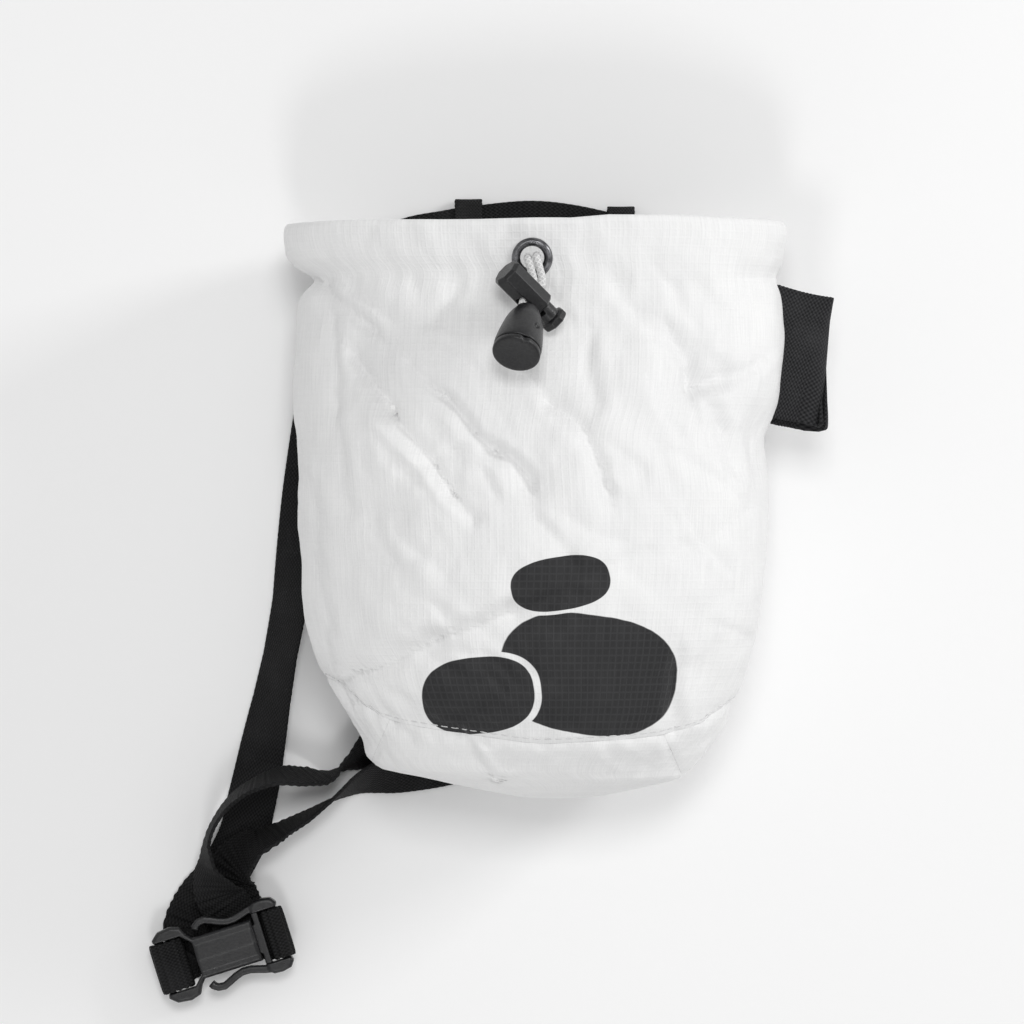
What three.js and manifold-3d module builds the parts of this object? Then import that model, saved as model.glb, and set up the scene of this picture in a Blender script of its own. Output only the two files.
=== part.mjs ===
// A climbing chalk bag that lies on its back, with its waist belt fastened.
// X runs across the bag, Y along it towards the mouth and Z up from the surface that it lies on.
// Lengths are in millimetres. The group's origin is the middle of the underside of its box.
import * as THREE from "three";
import { mergeVertices } from "three/addons/utils/BufferGeometryUtils.js";
import Module from "manifold-3d";

const wasm = await Module();
wasm.setup();

// Driving sizes
const BAG_LENGTH = 165.5; // from the base to the mouth
const BAG_HALF_WIDTH = 74; // at the mouth
const BAG_DEPTH = 88; // of the filled body, from its back to its front
const CLOTH = 2; // wall of padded cloth
const GAP = 0.3; // between pieces that touch
const WEBBING_WIDTH = 15;
const WEBBING_THICKNESS = 1.4;
const TAPE_WIDTH = 8;
const TAPE_THICKNESS = 0.8;
const BRUSH_LOOP_WIDTH = 38; // along the bag
const BRUSH_LOOP_REACH = 15.5;
const BRUSH_LOOP_HEIGHT = 9;
const BRUSH_LOOP_THICKNESS = 1.6;
const EYELET_RADIUS = 5.85;
const EYELET_BORE = 3.4;
const CORD_RADIUS = 1.15;
const LOCK_LENGTH = 15.2;
const LOCK_RADIUS = 4.2; // to the flats of its eight sides
const LOCK_DIP = 20; // degrees, from its heel down to its mouth
const LOCK_TRAVEL = 3;
const PLUNGER_RADIUS = 2.8;
const PLUNGER_FLANGE_RADIUS = 3.8;
const PLUNGER_REACH = 6.5; // out of the barrel
const BELL_LENGTH = 17.6;
const BELL_RADIUS = 6.8;
const BELL_TIP_RADIUS = 3.4;
const BELL_CAP = 1.6;
const BUCKLE_HALF_LENGTH = 20.6; // with the webbing on its end bars
const BUCKLE_HALF_WIDTH = 11.4;
const BUCKLE_THICKNESS = 5;
const BUCKLE_BAR = 2.2;
const BUCKLE_RIDGE_HALF_WIDTH = 6.4;
const BUCKLE_RIDGE_RISE = 1.5; // of the ridge's crest over the frame
const BUCKLE_TURN = 17.5; // degrees from X

// Outline of the bag, a row for each section from the base to the mouth.
// along is a share of BAG_LENGTH, left and right of BAG_HALF_WIDTH, front and back of BAG_DEPTH over the surface.
const SECTIONS = [
  { along: 0.0, left: -0.12, right: 0.24, front: 0.58, back: 0.33 },
  { along: 0.012, left: -0.26, right: 0.37, front: 0.66, back: 0.22 },
  { along: 0.03, left: -0.45, right: 0.53, front: 0.74, back: 0.13 },
  { along: 0.047, left: -0.63, right: 0.575, front: 0.785, back: 0.085 },
  { along: 0.065, left: -0.69, right: 0.615, front: 0.82, back: 0.055 },
  { along: 0.1, left: -0.705, right: 0.67, front: 0.885, back: 0.036 },
  { along: 0.17, left: -0.798, right: 0.755, front: 0.945, back: 0.025 },
  { along: 0.24, left: -0.881, right: 0.81, front: 0.97, back: 0.025 },
  { along: 0.31, left: -0.928, right: 0.845, front: 0.99, back: 0.025 },
  { along: 0.415, left: -0.944, right: 0.882, front: 1.0, back: 0.025 },
  { along: 0.52, left: -0.956, right: 0.885, front: 0.985, back: 0.025 },
  { along: 0.626, left: -0.958, right: 0.868, front: 0.955, back: 0.025 },
  { along: 0.69, left: -0.968, right: 0.925, front: 0.93, back: 0.027 },
  { along: 0.78, left: -0.966, right: 0.95, front: 0.885, back: 0.034 },
  { along: 0.875, left: -0.952, right: 0.94, front: 0.828, back: 0.043 },
  { along: 0.912, left: -0.93, right: 0.93, front: 0.822, back: 0.047 },
  { along: 0.94, left: -0.99, right: 0.948, front: 0.828, back: 0.048 },
  { along: 0.975, left: -1.018, right: 0.972, front: 0.837, back: 0.048 },
  { along: 1.0, left: -1.02, right: 0.968, front: 0.845, back: 0.048 },
];
const FRONT_POWER = 2.25; // 2 is an ellipse, more is boxier
const BACK_POWER = 3.6;

// Folds in the front cloth, a row for each straight stretch, seen from the front.
// x is a share of BAG_HALF_WIDTH, y of BAG_LENGTH; width and depth are shares of BAG_DEPTH, and a ridge has a depth under 0.
const FOLDS = [
  { name: "left crease", x1: -0.714, y1: 0.758, x2: -0.622, y2: 0.683, width: 0.05, depth: 0.022 },
  { name: "left crease", x1: -0.622, y1: 0.683, x2: -0.347, y2: 0.526, width: 0.045, depth: 0.026 },
  { name: "left roll", x1: -0.66, y1: 0.65, x2: -0.42, y2: 0.51, width: 0.07, depth: -0.018 },
  { name: "middle crease", x1: -0.469, y1: 0.745, x2: -0.24, y2: 0.622, width: 0.042, depth: 0.024 },
  { name: "middle crease", x1: -0.24, y1: 0.622, x2: -0.056, y2: 0.56, width: 0.042, depth: 0.02 },
  { name: "ridge from the eyelet", x1: -0.133, y1: 0.854, x2: -0.531, y2: 0.738, width: 0.06, depth: -0.018 },
  { name: "diagonal crease", x1: -0.133, y1: 0.752, x2: 0.25, y2: 0.56, width: 0.06, depth: 0.016 },
  { name: "upright valley", x1: 0.188, y1: 0.8, x2: 0.188, y2: 0.683, width: 0.08, depth: 0.016 },
  { name: "right pocket", x1: 0.563, y1: 0.775, x2: 0.61, y2: 0.7, width: 0.11, depth: 0.045 },
  { name: "right pocket tail", x1: 0.601, y1: 0.724, x2: 0.816, y2: 0.745, width: 0.055, depth: 0.022 },
  { name: "right lower dent", x1: 0.7, y1: 0.67, x2: 0.754, y2: 0.574, width: 0.07, depth: 0.018 },
  { name: "low broad fold", x1: -0.72, y1: 0.225, x2: -0.286, y2: 0.305, width: 0.1, depth: 0.03 },
  { name: "low broad fold", x1: -0.286, y1: 0.305, x2: 0.127, y2: 0.362, width: 0.09, depth: 0.022 },
  { name: "base pucker", x1: -0.309, y1: 0.117, x2: -0.2, y2: 0.045, width: 0.05, depth: 0.022 },
  { name: "right gathers", x1: 0.533, y1: 0.25, x2: 0.533, y2: 0.14, width: 0.05, depth: 0.02 },
  { name: "left side valley", x1: -0.84, y1: 0.82, x2: -0.77, y2: 0.6, width: 0.08, depth: 0.018 },
  { name: "collar gather", x1: -0.859, y1: 0.899, x2: -0.653, y2: 0.806, width: 0.055, depth: 0.022 },
];

// Seam of the base seen from the front, left to right, in the same shares as the folds.
const BASE_SEAM = [
  { x: -0.849, y: 0.217 },
  { x: -0.649, y: 0.142 },
  { x: -0.432, y: 0.126 },
  { x: -0.011, y: 0.1 },
  { x: 0.411, y: 0.111 },
  { x: 0.568, y: 0.124 },
  { x: 0.692, y: 0.145 },
  { x: 0.782, y: 0.1855 },
];

// Seam under the collar, which dips below the eyelet, in the same shares.
const COLLAR_SEAM = [
  { x: -1.0, y: 0.912 },
  { x: -0.6, y: 0.9 },
  { x: -0.04, y: 0.886 },
  { x: 0.6, y: 0.9 },
  { x: 1.0, y: 0.91 },
];

// Seams between the base's panel and its gussets.
const LEFT_MITRE = { x1: -0.57, y1: 0.16, x2: -0.75, y2: -0.02 };
const RIGHT_MITRE = { x1: 0.42, y1: 0.16, x2: 0.61, y2: -0.02 };

// Route of the belt's middle line between the buckle's ends, in shares of BAG_HALF_WIDTH and BAG_LENGTH.
// roll is how far the webbing leans, in degrees, and lift its lower edge's height in webbing thicknesses.
const BELT_TO_LOOPS = [
  { x: -1.43, y: -0.255, roll: 0, lift: 0.06 },
  { x: -1.407, y: -0.226, roll: 0, lift: 0.06 },
  { x: -1.37, y: -0.199, roll: 0, lift: 0.06 },
  { x: -1.303, y: -0.165, roll: 0, lift: 0.06 },
  { x: -1.243, y: -0.122, roll: 0, lift: 0.06 },
  { x: -1.2, y: -0.079, roll: -2, lift: 0.06 },
  { x: -1.178, y: -0.036, roll: -6, lift: 0.06 },
  { x: -1.152, y: 0.0143, roll: -14, lift: 0.06 },
  { x: -1.12, y: 0.0866, roll: -28, lift: 0.06 },
  { x: -1.088, y: 0.159, roll: -40, lift: 0.06 },
  { x: -1.053, y: 0.24, roll: -47, lift: 0.06 },
  { x: -1.012, y: 0.34, roll: -44, lift: 0.06 },
  { x: -0.975, y: 0.45, roll: -26, lift: 0.06 },
  { x: -0.94, y: 0.56, roll: -6, lift: 0.06 },
  { x: -0.91, y: 0.65, roll: 0, lift: 0.06 },
  { x: -0.87, y: 0.76, roll: 0, lift: 0.06 },
  { x: -0.79, y: 0.89, roll: 0, lift: 0.06 },
  { x: -0.58, y: 0.978, roll: 0, lift: 0.3 },
  { x: -0.38, y: 1.0, roll: 0, lift: 0.85 },
];
const LEFT_LOOP = { x: -0.294, y: 1.006, roll: 0, lift: 0.85 };
const BELT_BETWEEN_LOOPS = [
  { x: -0.045, y: 1.017, roll: 0, lift: 0.85 },
  { x: 0.12, y: 1.01, roll: 0, lift: 0.85 },
];
const RIGHT_LOOP = { x: 0.323, y: 0.989, roll: 0, lift: 0.85 };
const BELT_FROM_LOOPS = [
  { x: 0.42, y: 0.975, roll: 0, lift: 0.85 },
  { x: 0.52, y: 0.943, roll: 0, lift: 0.3 },
  { x: 0.61, y: 0.86, roll: 0, lift: 0.06 },
  { x: 0.655, y: 0.737, roll: 0, lift: 0.06 },
  { x: 0.645, y: 0.574, roll: 0, lift: 0.06 },
  { x: 0.585, y: 0.412, roll: 0, lift: 0.06 },
  { x: 0.445, y: 0.267, roll: 0, lift: 0.06 },
  { x: 0.21, y: 0.16, roll: 0, lift: 0.06 },
  { x: -0.085, y: 0.09, roll: 0, lift: 0.06 },
  { x: -0.368, y: 0.05, roll: 0, lift: 0.06 },
  { x: -0.54, y: 0.034, roll: -22, lift: 0.06 },
  { x: -0.65, y: 0.022, roll: -48, lift: 0.06 },
  { x: -0.721, y: 0.011, roll: -64, lift: 0.06 },
  { x: -0.786, y: -0.005, roll: -78, lift: 0.06 },
  { x: -0.851, y: -0.023, roll: 90, lift: 0.3 },
  { x: -0.945, y: -0.05, roll: 80, lift: 0.6 },
  { x: -1.042, y: -0.073, roll: 74, lift: 1.2 },
  { x: -1.131, y: -0.094, roll: 64, lift: 2.6 },
  { x: -1.2, y: -0.118, roll: 44, lift: 1.8 },
  { x: -1.246, y: -0.145, roll: 22, lift: 1.35 },
  { x: -1.26, y: -0.172, roll: 6, lift: 1.3 },
  { x: -1.242, y: -0.2, roll: 0, lift: 1.35 },
];
const BELT_TAIL = [
  { x: -1.285, y: -0.205, roll: -4, lift: 2.9 },
  { x: -1.32, y: -0.172, roll: -38, lift: 2.6 },
  { x: -1.343, y: -0.135, roll: -68, lift: 2.7 },
  { x: -1.343, y: -0.096, roll: -76, lift: 2.8 },
  { x: -1.308, y: -0.056, roll: -76, lift: 3.6 },
  { x: -1.247, y: -0.02, roll: -74, lift: 4.8 },
  { x: -1.167, y: 0.006, roll: -72, lift: 5.8 },
  { x: -1.078, y: 0.022, roll: -69, lift: 6.2 },
  { x: -0.989, y: 0.025, roll: -66, lift: 4.8 },
  { x: -0.9, y: 0.024, roll: -72, lift: 2.2 },
  { x: -0.832, y: 0.031, roll: 90, lift: 0.4 },
  { x: -0.765, y: 0.048, roll: 72, lift: 0.06 },
  { x: -0.7, y: 0.068, roll: 48, lift: 0.06 },
  { x: -0.63, y: 0.096, roll: 16, lift: 0.06 },
  { x: -0.56, y: 0.14, roll: 0, lift: 0.06 },
  { x: -0.48, y: 0.21, roll: 0, lift: 0.06 },
];

// Where the small pieces of the front lie, in the same shares.
const EYELET_AT = { x: -0.04, y: 0.935 };
const LOCK_HEEL_AT = { x: -0.144, y: 0.9085 };
const LOCK_MOUTH_AT = { x: -0.008, y: 0.849 };
const BELL_LEAN = { x: -0.25, y: -0.97, rise: 41 };
const BRUSH_LOOP_AT = { x: 0.93, y: 0.894, height: 0.47 };
const BUCKLE_AT = { x: -1.285, y: -0.291 };

const place = (at) => new THREE.Vector2(at.x * BAG_HALF_WIDTH, at.y * BAG_LENGTH);

// Solids

function closed(geometry) {
  const bare = geometry.clone();
  bare.deleteAttribute("normal");
  bare.deleteAttribute("uv");
  const merged = mergeVertices(bare, 1e-4);
  const triVerts = new Uint32Array(merged.index.array);
  const vertProperties = new Float32Array(merged.attributes.position.array);
  const made = new wasm.Manifold(new wasm.Mesh({ numProp: 3, vertProperties, triVerts }));
  if (made.volume() > 0) return made;
  for (let i = 0; i < triVerts.length; i += 3) {
    const first = triVerts[i];
    triVerts[i] = triVerts[i + 1];
    triVerts[i + 1] = first;
  }
  return new wasm.Manifold(new wasm.Mesh({ numProp: 3, vertProperties, triVerts }));
}

function geometryOf(solid) {
  const mesh = solid.getMesh();
  const geometry = new THREE.BufferGeometry();
  geometry.setAttribute("position", new THREE.BufferAttribute(new Float32Array(mesh.vertProperties), 3));
  geometry.setIndex(Array.from(mesh.triVerts));
  const flat = geometry.toNonIndexed();
  flat.computeVertexNormals();
  return flat;
}

const moved = (geometry, matrix) => geometry.clone().applyMatrix4(matrix);

// A box given by its lowest and highest corner.
function block(low, high) {
  const size = high.map((value, i) => value - low[i]);
  const middle = high.map((value, i) => (value + low[i]) / 2);
  return new THREE.BoxGeometry(...size).translate(...middle);
}

// Rings of points joined into one closed skin, with a fan over each end.
function loft(rings) {
  const count = rings[0].length;
  const points = rings.flat();
  const faces = [];
  for (let r = 0; r + 1 < rings.length; r += 1) {
    for (let i = 0; i < count; i += 1) {
      const next = (i + 1) % count;
      const a = r * count + i;
      const b = r * count + next;
      faces.push(a, b, b + count, a, b + count, a + count);
    }
  }
  for (const [ring, start] of [[rings[0], 0], [rings.at(-1), (rings.length - 1) * count]]) {
    const middle = ring.reduce((sum, p) => sum.add(p), new THREE.Vector3()).divideScalar(count);
    points.push(middle);
    for (let i = 0; i < count; i += 1) {
      const next = (i + 1) % count;
      const pair = start === 0 ? [start + next, start + i] : [start + i, start + next];
      faces.push(...pair, points.length - 1);
    }
  }
  const geometry = new THREE.BufferGeometry().setFromPoints(points);
  geometry.setIndex(faces);
  return geometry;
}

// An outline in the plan, from below the surface to above the bag.
function curtain(points) {
  const shape = new THREE.Shape(points);
  return new THREE.ExtrudeGeometry(shape, { depth: 3 * BAG_DEPTH, bevelEnabled: false }).translate(0, 0, -BAG_DEPTH);
}

function turned(profile, sides) {
  return new THREE.LatheGeometry(profile.map(([radius, height]) => new THREE.Vector2(radius, height)), sides);
}

// The cloth skin of the bag

function sectionAt(along) {
  const last = SECTIONS.length - 1;
  let row = SECTIONS.findIndex((s) => s.along > along) - 1;
  if (row < 0) row = along < 0 ? 0 : last - 1;
  const from = SECTIONS[row];
  const to = SECTIONS[row + 1];
  const before = SECTIONS[Math.max(row - 1, 0)];
  const after = SECTIONS[Math.min(row + 2, last)];
  const span = to.along - from.along;
  const t = THREE.MathUtils.clamp((along - from.along) / span, 0, 1);
  const eased = (key) => {
    const slopeIn = (to[key] - before[key]) / (to.along - before.along);
    const slopeOut = (after[key] - from[key]) / (after.along - from.along);
    const t2 = t * t;
    const t3 = t2 * t;
    return (
      (2 * t3 - 3 * t2 + 1) * from[key] +
      (t3 - 2 * t2 + t) * span * slopeIn +
      (3 * t2 - 2 * t3) * to[key] +
      (t3 - t2) * span * slopeOut
    );
  };
  return { left: eased("left"), right: eased("right"), front: eased("front"), back: eased("back") };
}

// The inside of the cloth follows the creases in a wider and softer way, and not the ridges, so the wall stays whole.
const INNER_CREASE = 2.2;

function foldDepth(x, y, inside) {
  let depth = 0;
  for (const fold of FOLDS) {
    if (inside && fold.depth < 0) continue;
    const reach = fold.width * BAG_DEPTH * (inside ? INNER_CREASE : 1);
    const from = place({ x: fold.x1, y: fold.y1 });
    const line = place({ x: fold.x2, y: fold.y2 }).sub(from);
    const spot = new THREE.Vector2(x, y).sub(from);
    const t = THREE.MathUtils.clamp(spot.dot(line) / line.lengthSq(), 0, 1);
    const away = spot.distanceTo(line.multiplyScalar(t)) / reach;
    depth += fold.depth * BAG_DEPTH * Math.exp(-away * away);
  }
  return depth;
}

// A point of the skin: turn goes round the section from the right side over the front, inset is how far inside it lies.
function skinPoint(along, turn, inset) {
  const s = sectionAt(along);
  const middle = ((s.left + s.right) / 2) * BAG_HALF_WIDTH;
  const halfWidth = ((s.right - s.left) / 2) * BAG_HALF_WIDTH - inset;
  const height = ((s.front + s.back) / 2) * BAG_DEPTH;
  const halfDepth = ((s.front - s.back) / 2) * BAG_DEPTH - inset;
  const power = Math.sin(turn) > 0 ? FRONT_POWER : BACK_POWER;
  const round = (value) => Math.sign(value) * Math.abs(value) ** (2 / power);
  const point = new THREE.Vector3(halfWidth * round(Math.cos(turn)), along * BAG_LENGTH, halfDepth * round(Math.sin(turn)));
  const facing = new THREE.Vector3(point.x / halfWidth ** 2, 0, point.z / halfDepth ** 2).normalize();
  const folded = foldDepth(middle + point.x, point.y, inset > 0) * THREE.MathUtils.smoothstep(facing.z, 0.05, 0.5);
  return point.addScaledVector(facing, -folded).add(new THREE.Vector3(middle, 0, height));
}

// Sections closer together where the outline turns in, at the base and under the collar.
function skin(inset, rowStep, frontSteps, backSteps, overrun) {
  const rows = SECTIONS.filter((s) => s.along < 0.08).map((s) => s.along);
  const count = Math.ceil((BAG_LENGTH * (1 - rows.at(-1))) / rowStep);
  const start = rows.at(-1);
  for (let i = 1; i <= count; i += 1) rows.push(start + ((1 - start) * i) / count);
  const turns = [];
  for (let i = 0; i < frontSteps; i += 1) turns.push((Math.PI * i) / frontSteps);
  for (let i = 0; i < backSteps; i += 1) turns.push(Math.PI + (Math.PI * i) / backSteps);
  const rings = rows.filter((along) => along * BAG_LENGTH >= inset * 1.2).map((along) => turns.map((turn) => skinPoint(along, turn, inset)));
  if (overrun > 0) rings.push(turns.map((turn) => skinPoint(1, turn, inset).add(new THREE.Vector3(0, overrun, 0))));
  return closed(loft(rings));
}

const outerSkin = skin(0, 5.3, 36, 12, 0);
const innerSkin = skin(CLOTH, 10.2, 20, 10, 5);
const shell = outerSkin.subtract(innerSkin);

// Where the front of the bag is, straight above a place in the plan.
function frontAt(at) {
  const spot = place(at);
  let low = 0.02 * Math.PI;
  let high = 0.98 * Math.PI;
  for (let i = 0; i < 40; i += 1) {
    const turn = (low + high) / 2;
    if (skinPoint(at.y, turn, 0).x > spot.x) low = turn;
    else high = turn;
  }
  return skinPoint(at.y, low, 0);
}

function frontFacing(at) {
  const step = 0.02;
  const across = frontAt({ x: at.x + step, y: at.y }).sub(frontAt({ x: at.x - step, y: at.y }));
  const along = frontAt({ x: at.x, y: at.y + step }).sub(frontAt({ x: at.x, y: at.y - step }));
  return across.cross(along).normalize();
}

// Collar, body and base, cut from the skin with a gap along each seam

const FAR = 3 * BAG_HALF_WIDTH;

function below(rows, shift) {
  const seam = rows.map((at) => place(at).add(new THREE.Vector2(0, shift)));
  const first = new THREE.Vector2(-FAR, seam[0].y);
  const last = new THREE.Vector2(FAR, seam.at(-1).y);
  return closed(curtain([new THREE.Vector2(-FAR, -FAR), new THREE.Vector2(FAR, -FAR), last, ...seam.reverse(), first]));
}

function outsideMitre(mitre, shift) {
  const side = Math.sign(mitre.x1);
  const top = place({ x: mitre.x1, y: mitre.y1 }).add(new THREE.Vector2(side * shift, 0));
  const bottom = place({ x: mitre.x2, y: mitre.y2 }).add(new THREE.Vector2(side * shift, 0));
  const run = bottom.clone().sub(top);
  const above = top.clone().addScaledVector(run, -1);
  const below = bottom.clone().addScaledVector(run, 1);
  const corners = [above, below, new THREE.Vector2(side * FAR, below.y), new THREE.Vector2(side * FAR, above.y)];
  return closed(curtain(corners));
}

const eyeletSeat = frontAt(EYELET_AT);
const eyeletTurn = new THREE.Quaternion().setFromUnitVectors(new THREE.Vector3(0, 1, 0), frontFacing(EYELET_AT));
const eyeletFrame = new THREE.Matrix4().compose(eyeletSeat, eyeletTurn, new THREE.Vector3(1, 1, 1));
const EYELET_WALL = 0.4;
const eyeletHole = new THREE.CylinderGeometry(
  EYELET_BORE + EYELET_WALL + GAP,
  EYELET_BORE + EYELET_WALL + GAP,
  8 * CLOTH,
  24,
);

// Flat seats, pressed into the cloth by the flange in front and by the washer behind.
const pressed = (middle) =>
  new THREE.CylinderGeometry(EYELET_RADIUS + GAP, EYELET_RADIUS + GAP, 4 * CLOTH, 24).translate(0, middle, 0);
const flangeSeat = pressed(2 * CLOTH);
const washerSeat = pressed(-3 * CLOTH - GAP);

const base = shell.intersect(below(BASE_SEAM, -GAP / 2));
const body = shell.subtract(below(BASE_SEAM, GAP / 2)).intersect(below(COLLAR_SEAM, -GAP / 2));
const collar = shell
  .subtract(below(COLLAR_SEAM, GAP / 2))
  .subtract(closed(moved(eyeletHole, eyeletFrame)))
  .subtract(closed(moved(flangeSeat, eyeletFrame)))
  .subtract(closed(moved(washerSeat, eyeletFrame)));
const gussetLeft = base.intersect(outsideMitre(LEFT_MITRE, GAP / 2));
const gussetRight = base.intersect(outsideMitre(RIGHT_MITRE, GAP / 2));
const basePanel = base.subtract(outsideMitre(LEFT_MITRE, -GAP / 2)).subtract(outsideMitre(RIGHT_MITRE, -GAP / 2));

// Eyelet: a rolled flange in front, a washer behind and a tube through the cloth.
const EYELET_FLANGE = 1.3;
const EYELET_WASHER = 0.7;
function eyelet() {
  const tube = EYELET_BORE + EYELET_WALL;
  const behind = -CLOTH - 2 * GAP;
  const profile = [
    [EYELET_BORE, behind - EYELET_WASHER],
    [EYELET_RADIUS, behind - EYELET_WASHER],
    [EYELET_RADIUS, behind],
    [tube, behind],
    [tube, GAP],
    [EYELET_RADIUS, GAP],
    [EYELET_RADIUS - 0.25, GAP + 0.6 * EYELET_FLANGE],
    [(EYELET_RADIUS + tube) / 2, GAP + EYELET_FLANGE],
    [tube, GAP + 0.7 * EYELET_FLANGE],
    [EYELET_BORE, GAP],
    [EYELET_BORE, behind - EYELET_WASHER],
  ];
  return closed(moved(turned(profile, 20), eyeletFrame));
}

// Cord lock: an eight-sided barrel with a sprung plunger, crossed by the cord. Its axis is Z, with the mouth at the top.
const CORD_CROSSING = 0.7 * LOCK_LENGTH; // from the heel
const CROSSING_HALF_HEIGHT = CORD_RADIUS + 0.45;
const CROSSING_HALF_LENGTH = 2 * CORD_RADIUS + 0.6;

const lockDip = THREE.MathUtils.degToRad(LOCK_DIP);
const lockHeel = frontAt(LOCK_HEEL_AT);
const lockMouth = frontAt(LOCK_MOUTH_AT);
const lockAxis = lockMouth
  .clone()
  .sub(lockHeel)
  .setZ(0)
  .setLength(Math.cos(lockDip))
  .setZ(-Math.sin(lockDip));
const lockLevel = new THREE.Vector3(-lockAxis.y, lockAxis.x, 0).normalize();

// The cord crosses the barrel on a slope, upwards and away from the eyelet, square to two of its flats.
const lockSide = lockLevel.clone().applyAxisAngle(lockAxis, -Math.PI / 4);
const lockUp = new THREE.Vector3().crossVectors(lockAxis, lockSide);
const lockReach = LOCK_LENGTH + PLUNGER_REACH;
const lockTip = lockHeel.clone().addScaledVector(lockAxis, lockReach);
const clothUnderTip = frontAt({ x: lockTip.x / BAG_HALF_WIDTH, y: lockTip.y / BAG_LENGTH }).z;
const lockRise = clothUnderTip + LOCK_RADIUS + GAP + lockReach * Math.sin(lockDip);
const lockBase = lockHeel.clone().setZ(lockRise);
const lockFrame = new THREE.Matrix4().makeBasis(lockSide, lockUp, lockAxis).setPosition(lockBase);

function octagon(radius, low, high, chamfer) {
  const corner = radius / Math.cos(Math.PI / 8);
  const ring = (size, z) =>
    Array.from({ length: 8 }, (_, i) => {
      const angle = (Math.PI * (2 * i + 1)) / 8;
      return new THREE.Vector3(size * Math.cos(angle), size * Math.sin(angle), z);
    });
  const rings = [ring(corner - chamfer, low), ring(corner, low + chamfer), ring(corner, high - chamfer), ring(corner - chamfer, high)];
  return closed(loft(rings));
}

const rod = (radius, low, high, sides) =>
  closed(new THREE.CylinderGeometry(radius, radius, high - low, sides).rotateX(Math.PI / 2).translate(0, 0, (low + high) / 2));

const crossing = (halfLength) =>
  closed(
    block(
      [-2 * LOCK_RADIUS, -CROSSING_HALF_HEIGHT, CORD_CROSSING - halfLength],
      [2 * LOCK_RADIUS, CROSSING_HALF_HEIGHT, CORD_CROSSING + halfLength],
    ),
  );

const LOCK_HEEL_WALL = 1.8;
function lockBarrel() {
  const outside = octagon(LOCK_RADIUS, 0, LOCK_LENGTH, 0.9);
  const bore = rod(PLUNGER_RADIUS + GAP, LOCK_HEEL_WALL, LOCK_LENGTH + 1, 20);
  return outside.subtract(bore).subtract(crossing(CROSSING_HALF_LENGTH));
}

function lockPlunger() {
  const inner = LOCK_HEEL_WALL + GAP + LOCK_TRAVEL;
  const tip = LOCK_LENGTH + PLUNGER_REACH;
  const flange = octagon(PLUNGER_FLANGE_RADIUS, tip - 0.38 * PLUNGER_REACH, tip, 0.5);
  return rod(PLUNGER_RADIUS, inner, tip - 0.1 * PLUNGER_REACH, 20)
    .subtract(crossing(CROSSING_HALF_LENGTH + LOCK_TRAVEL / 2).translate(0, 0, LOCK_TRAVEL / 2))
    .add(flange);
}

const inLockFrame = (solid) => closed(moved(geometryOf(solid), lockFrame));

// Cord end: a hollow bell whose flat cap faces up and away from the bag. Its axis is Y, with the tip at the start.
const BELL_WALL = 1.3;
const BELL_BORE = 2 * CORD_RADIUS + 0.3;
const BELL_NECK = 0.36 * BELL_LENGTH;

const bellRise = THREE.MathUtils.degToRad(BELL_LEAN.rise);
const bellAxis = new THREE.Vector3(
  BELL_LEAN.x * Math.cos(bellRise),
  BELL_LEAN.y * Math.cos(bellRise),
  Math.sin(bellRise),
).normalize();
const crossingMiddle = new THREE.Vector3(0, 0, CORD_CROSSING).applyMatrix4(lockFrame);
const bellTip = crossingMiddle
  .clone()
  .addScaledVector(lockSide, -(LOCK_RADIUS + GAP + 0.45 * BELL_TIP_RADIUS))
  .addScaledVector(lockAxis, 0.05 * LOCK_LENGTH);
const bellFrame = new THREE.Matrix4().compose(
  bellTip,
  new THREE.Quaternion().setFromUnitVectors(new THREE.Vector3(0, 1, 0), bellAxis),
  new THREE.Vector3(1, 1, 1),
);
const bellRim = BELL_LENGTH - BELL_CAP - GAP;

function cordEndBell() {
  const profile = [
    [BELL_BORE, 0],
    [BELL_TIP_RADIUS - 0.4, 0],
    [BELL_TIP_RADIUS, 0.6],
    [BELL_TIP_RADIUS + 0.45 * (BELL_RADIUS - BELL_TIP_RADIUS), 0.24 * BELL_LENGTH],
    [BELL_TIP_RADIUS + 0.8 * (BELL_RADIUS - BELL_TIP_RADIUS), 0.5 * BELL_LENGTH],
    [BELL_RADIUS, 0.78 * BELL_LENGTH],
    [BELL_RADIUS, bellRim],
    [BELL_RADIUS - BELL_WALL, bellRim],
    [BELL_RADIUS - BELL_WALL, 0.74 * BELL_LENGTH],
    [BELL_TIP_RADIUS + 0.45 * (BELL_RADIUS - BELL_TIP_RADIUS) - 0.2, BELL_NECK],
    [BELL_BORE, BELL_NECK],
    [BELL_BORE, 0],
  ];
  return closed(moved(turned(profile, 24), bellFrame));
}

function cordEndCap() {
  const seat = BELL_RADIUS - BELL_WALL - GAP;
  const profile = [
    [0, bellRim - 1.5],
    [seat, bellRim - 1.5],
    [seat, bellRim + GAP],
    [BELL_RADIUS, bellRim + GAP],
    [BELL_RADIUS, BELL_LENGTH - 0.4],
    [BELL_RADIUS - 0.4, BELL_LENGTH],
    [0, BELL_LENGTH],
  ];
  return closed(moved(turned(profile, 24), bellFrame));
}

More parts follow.
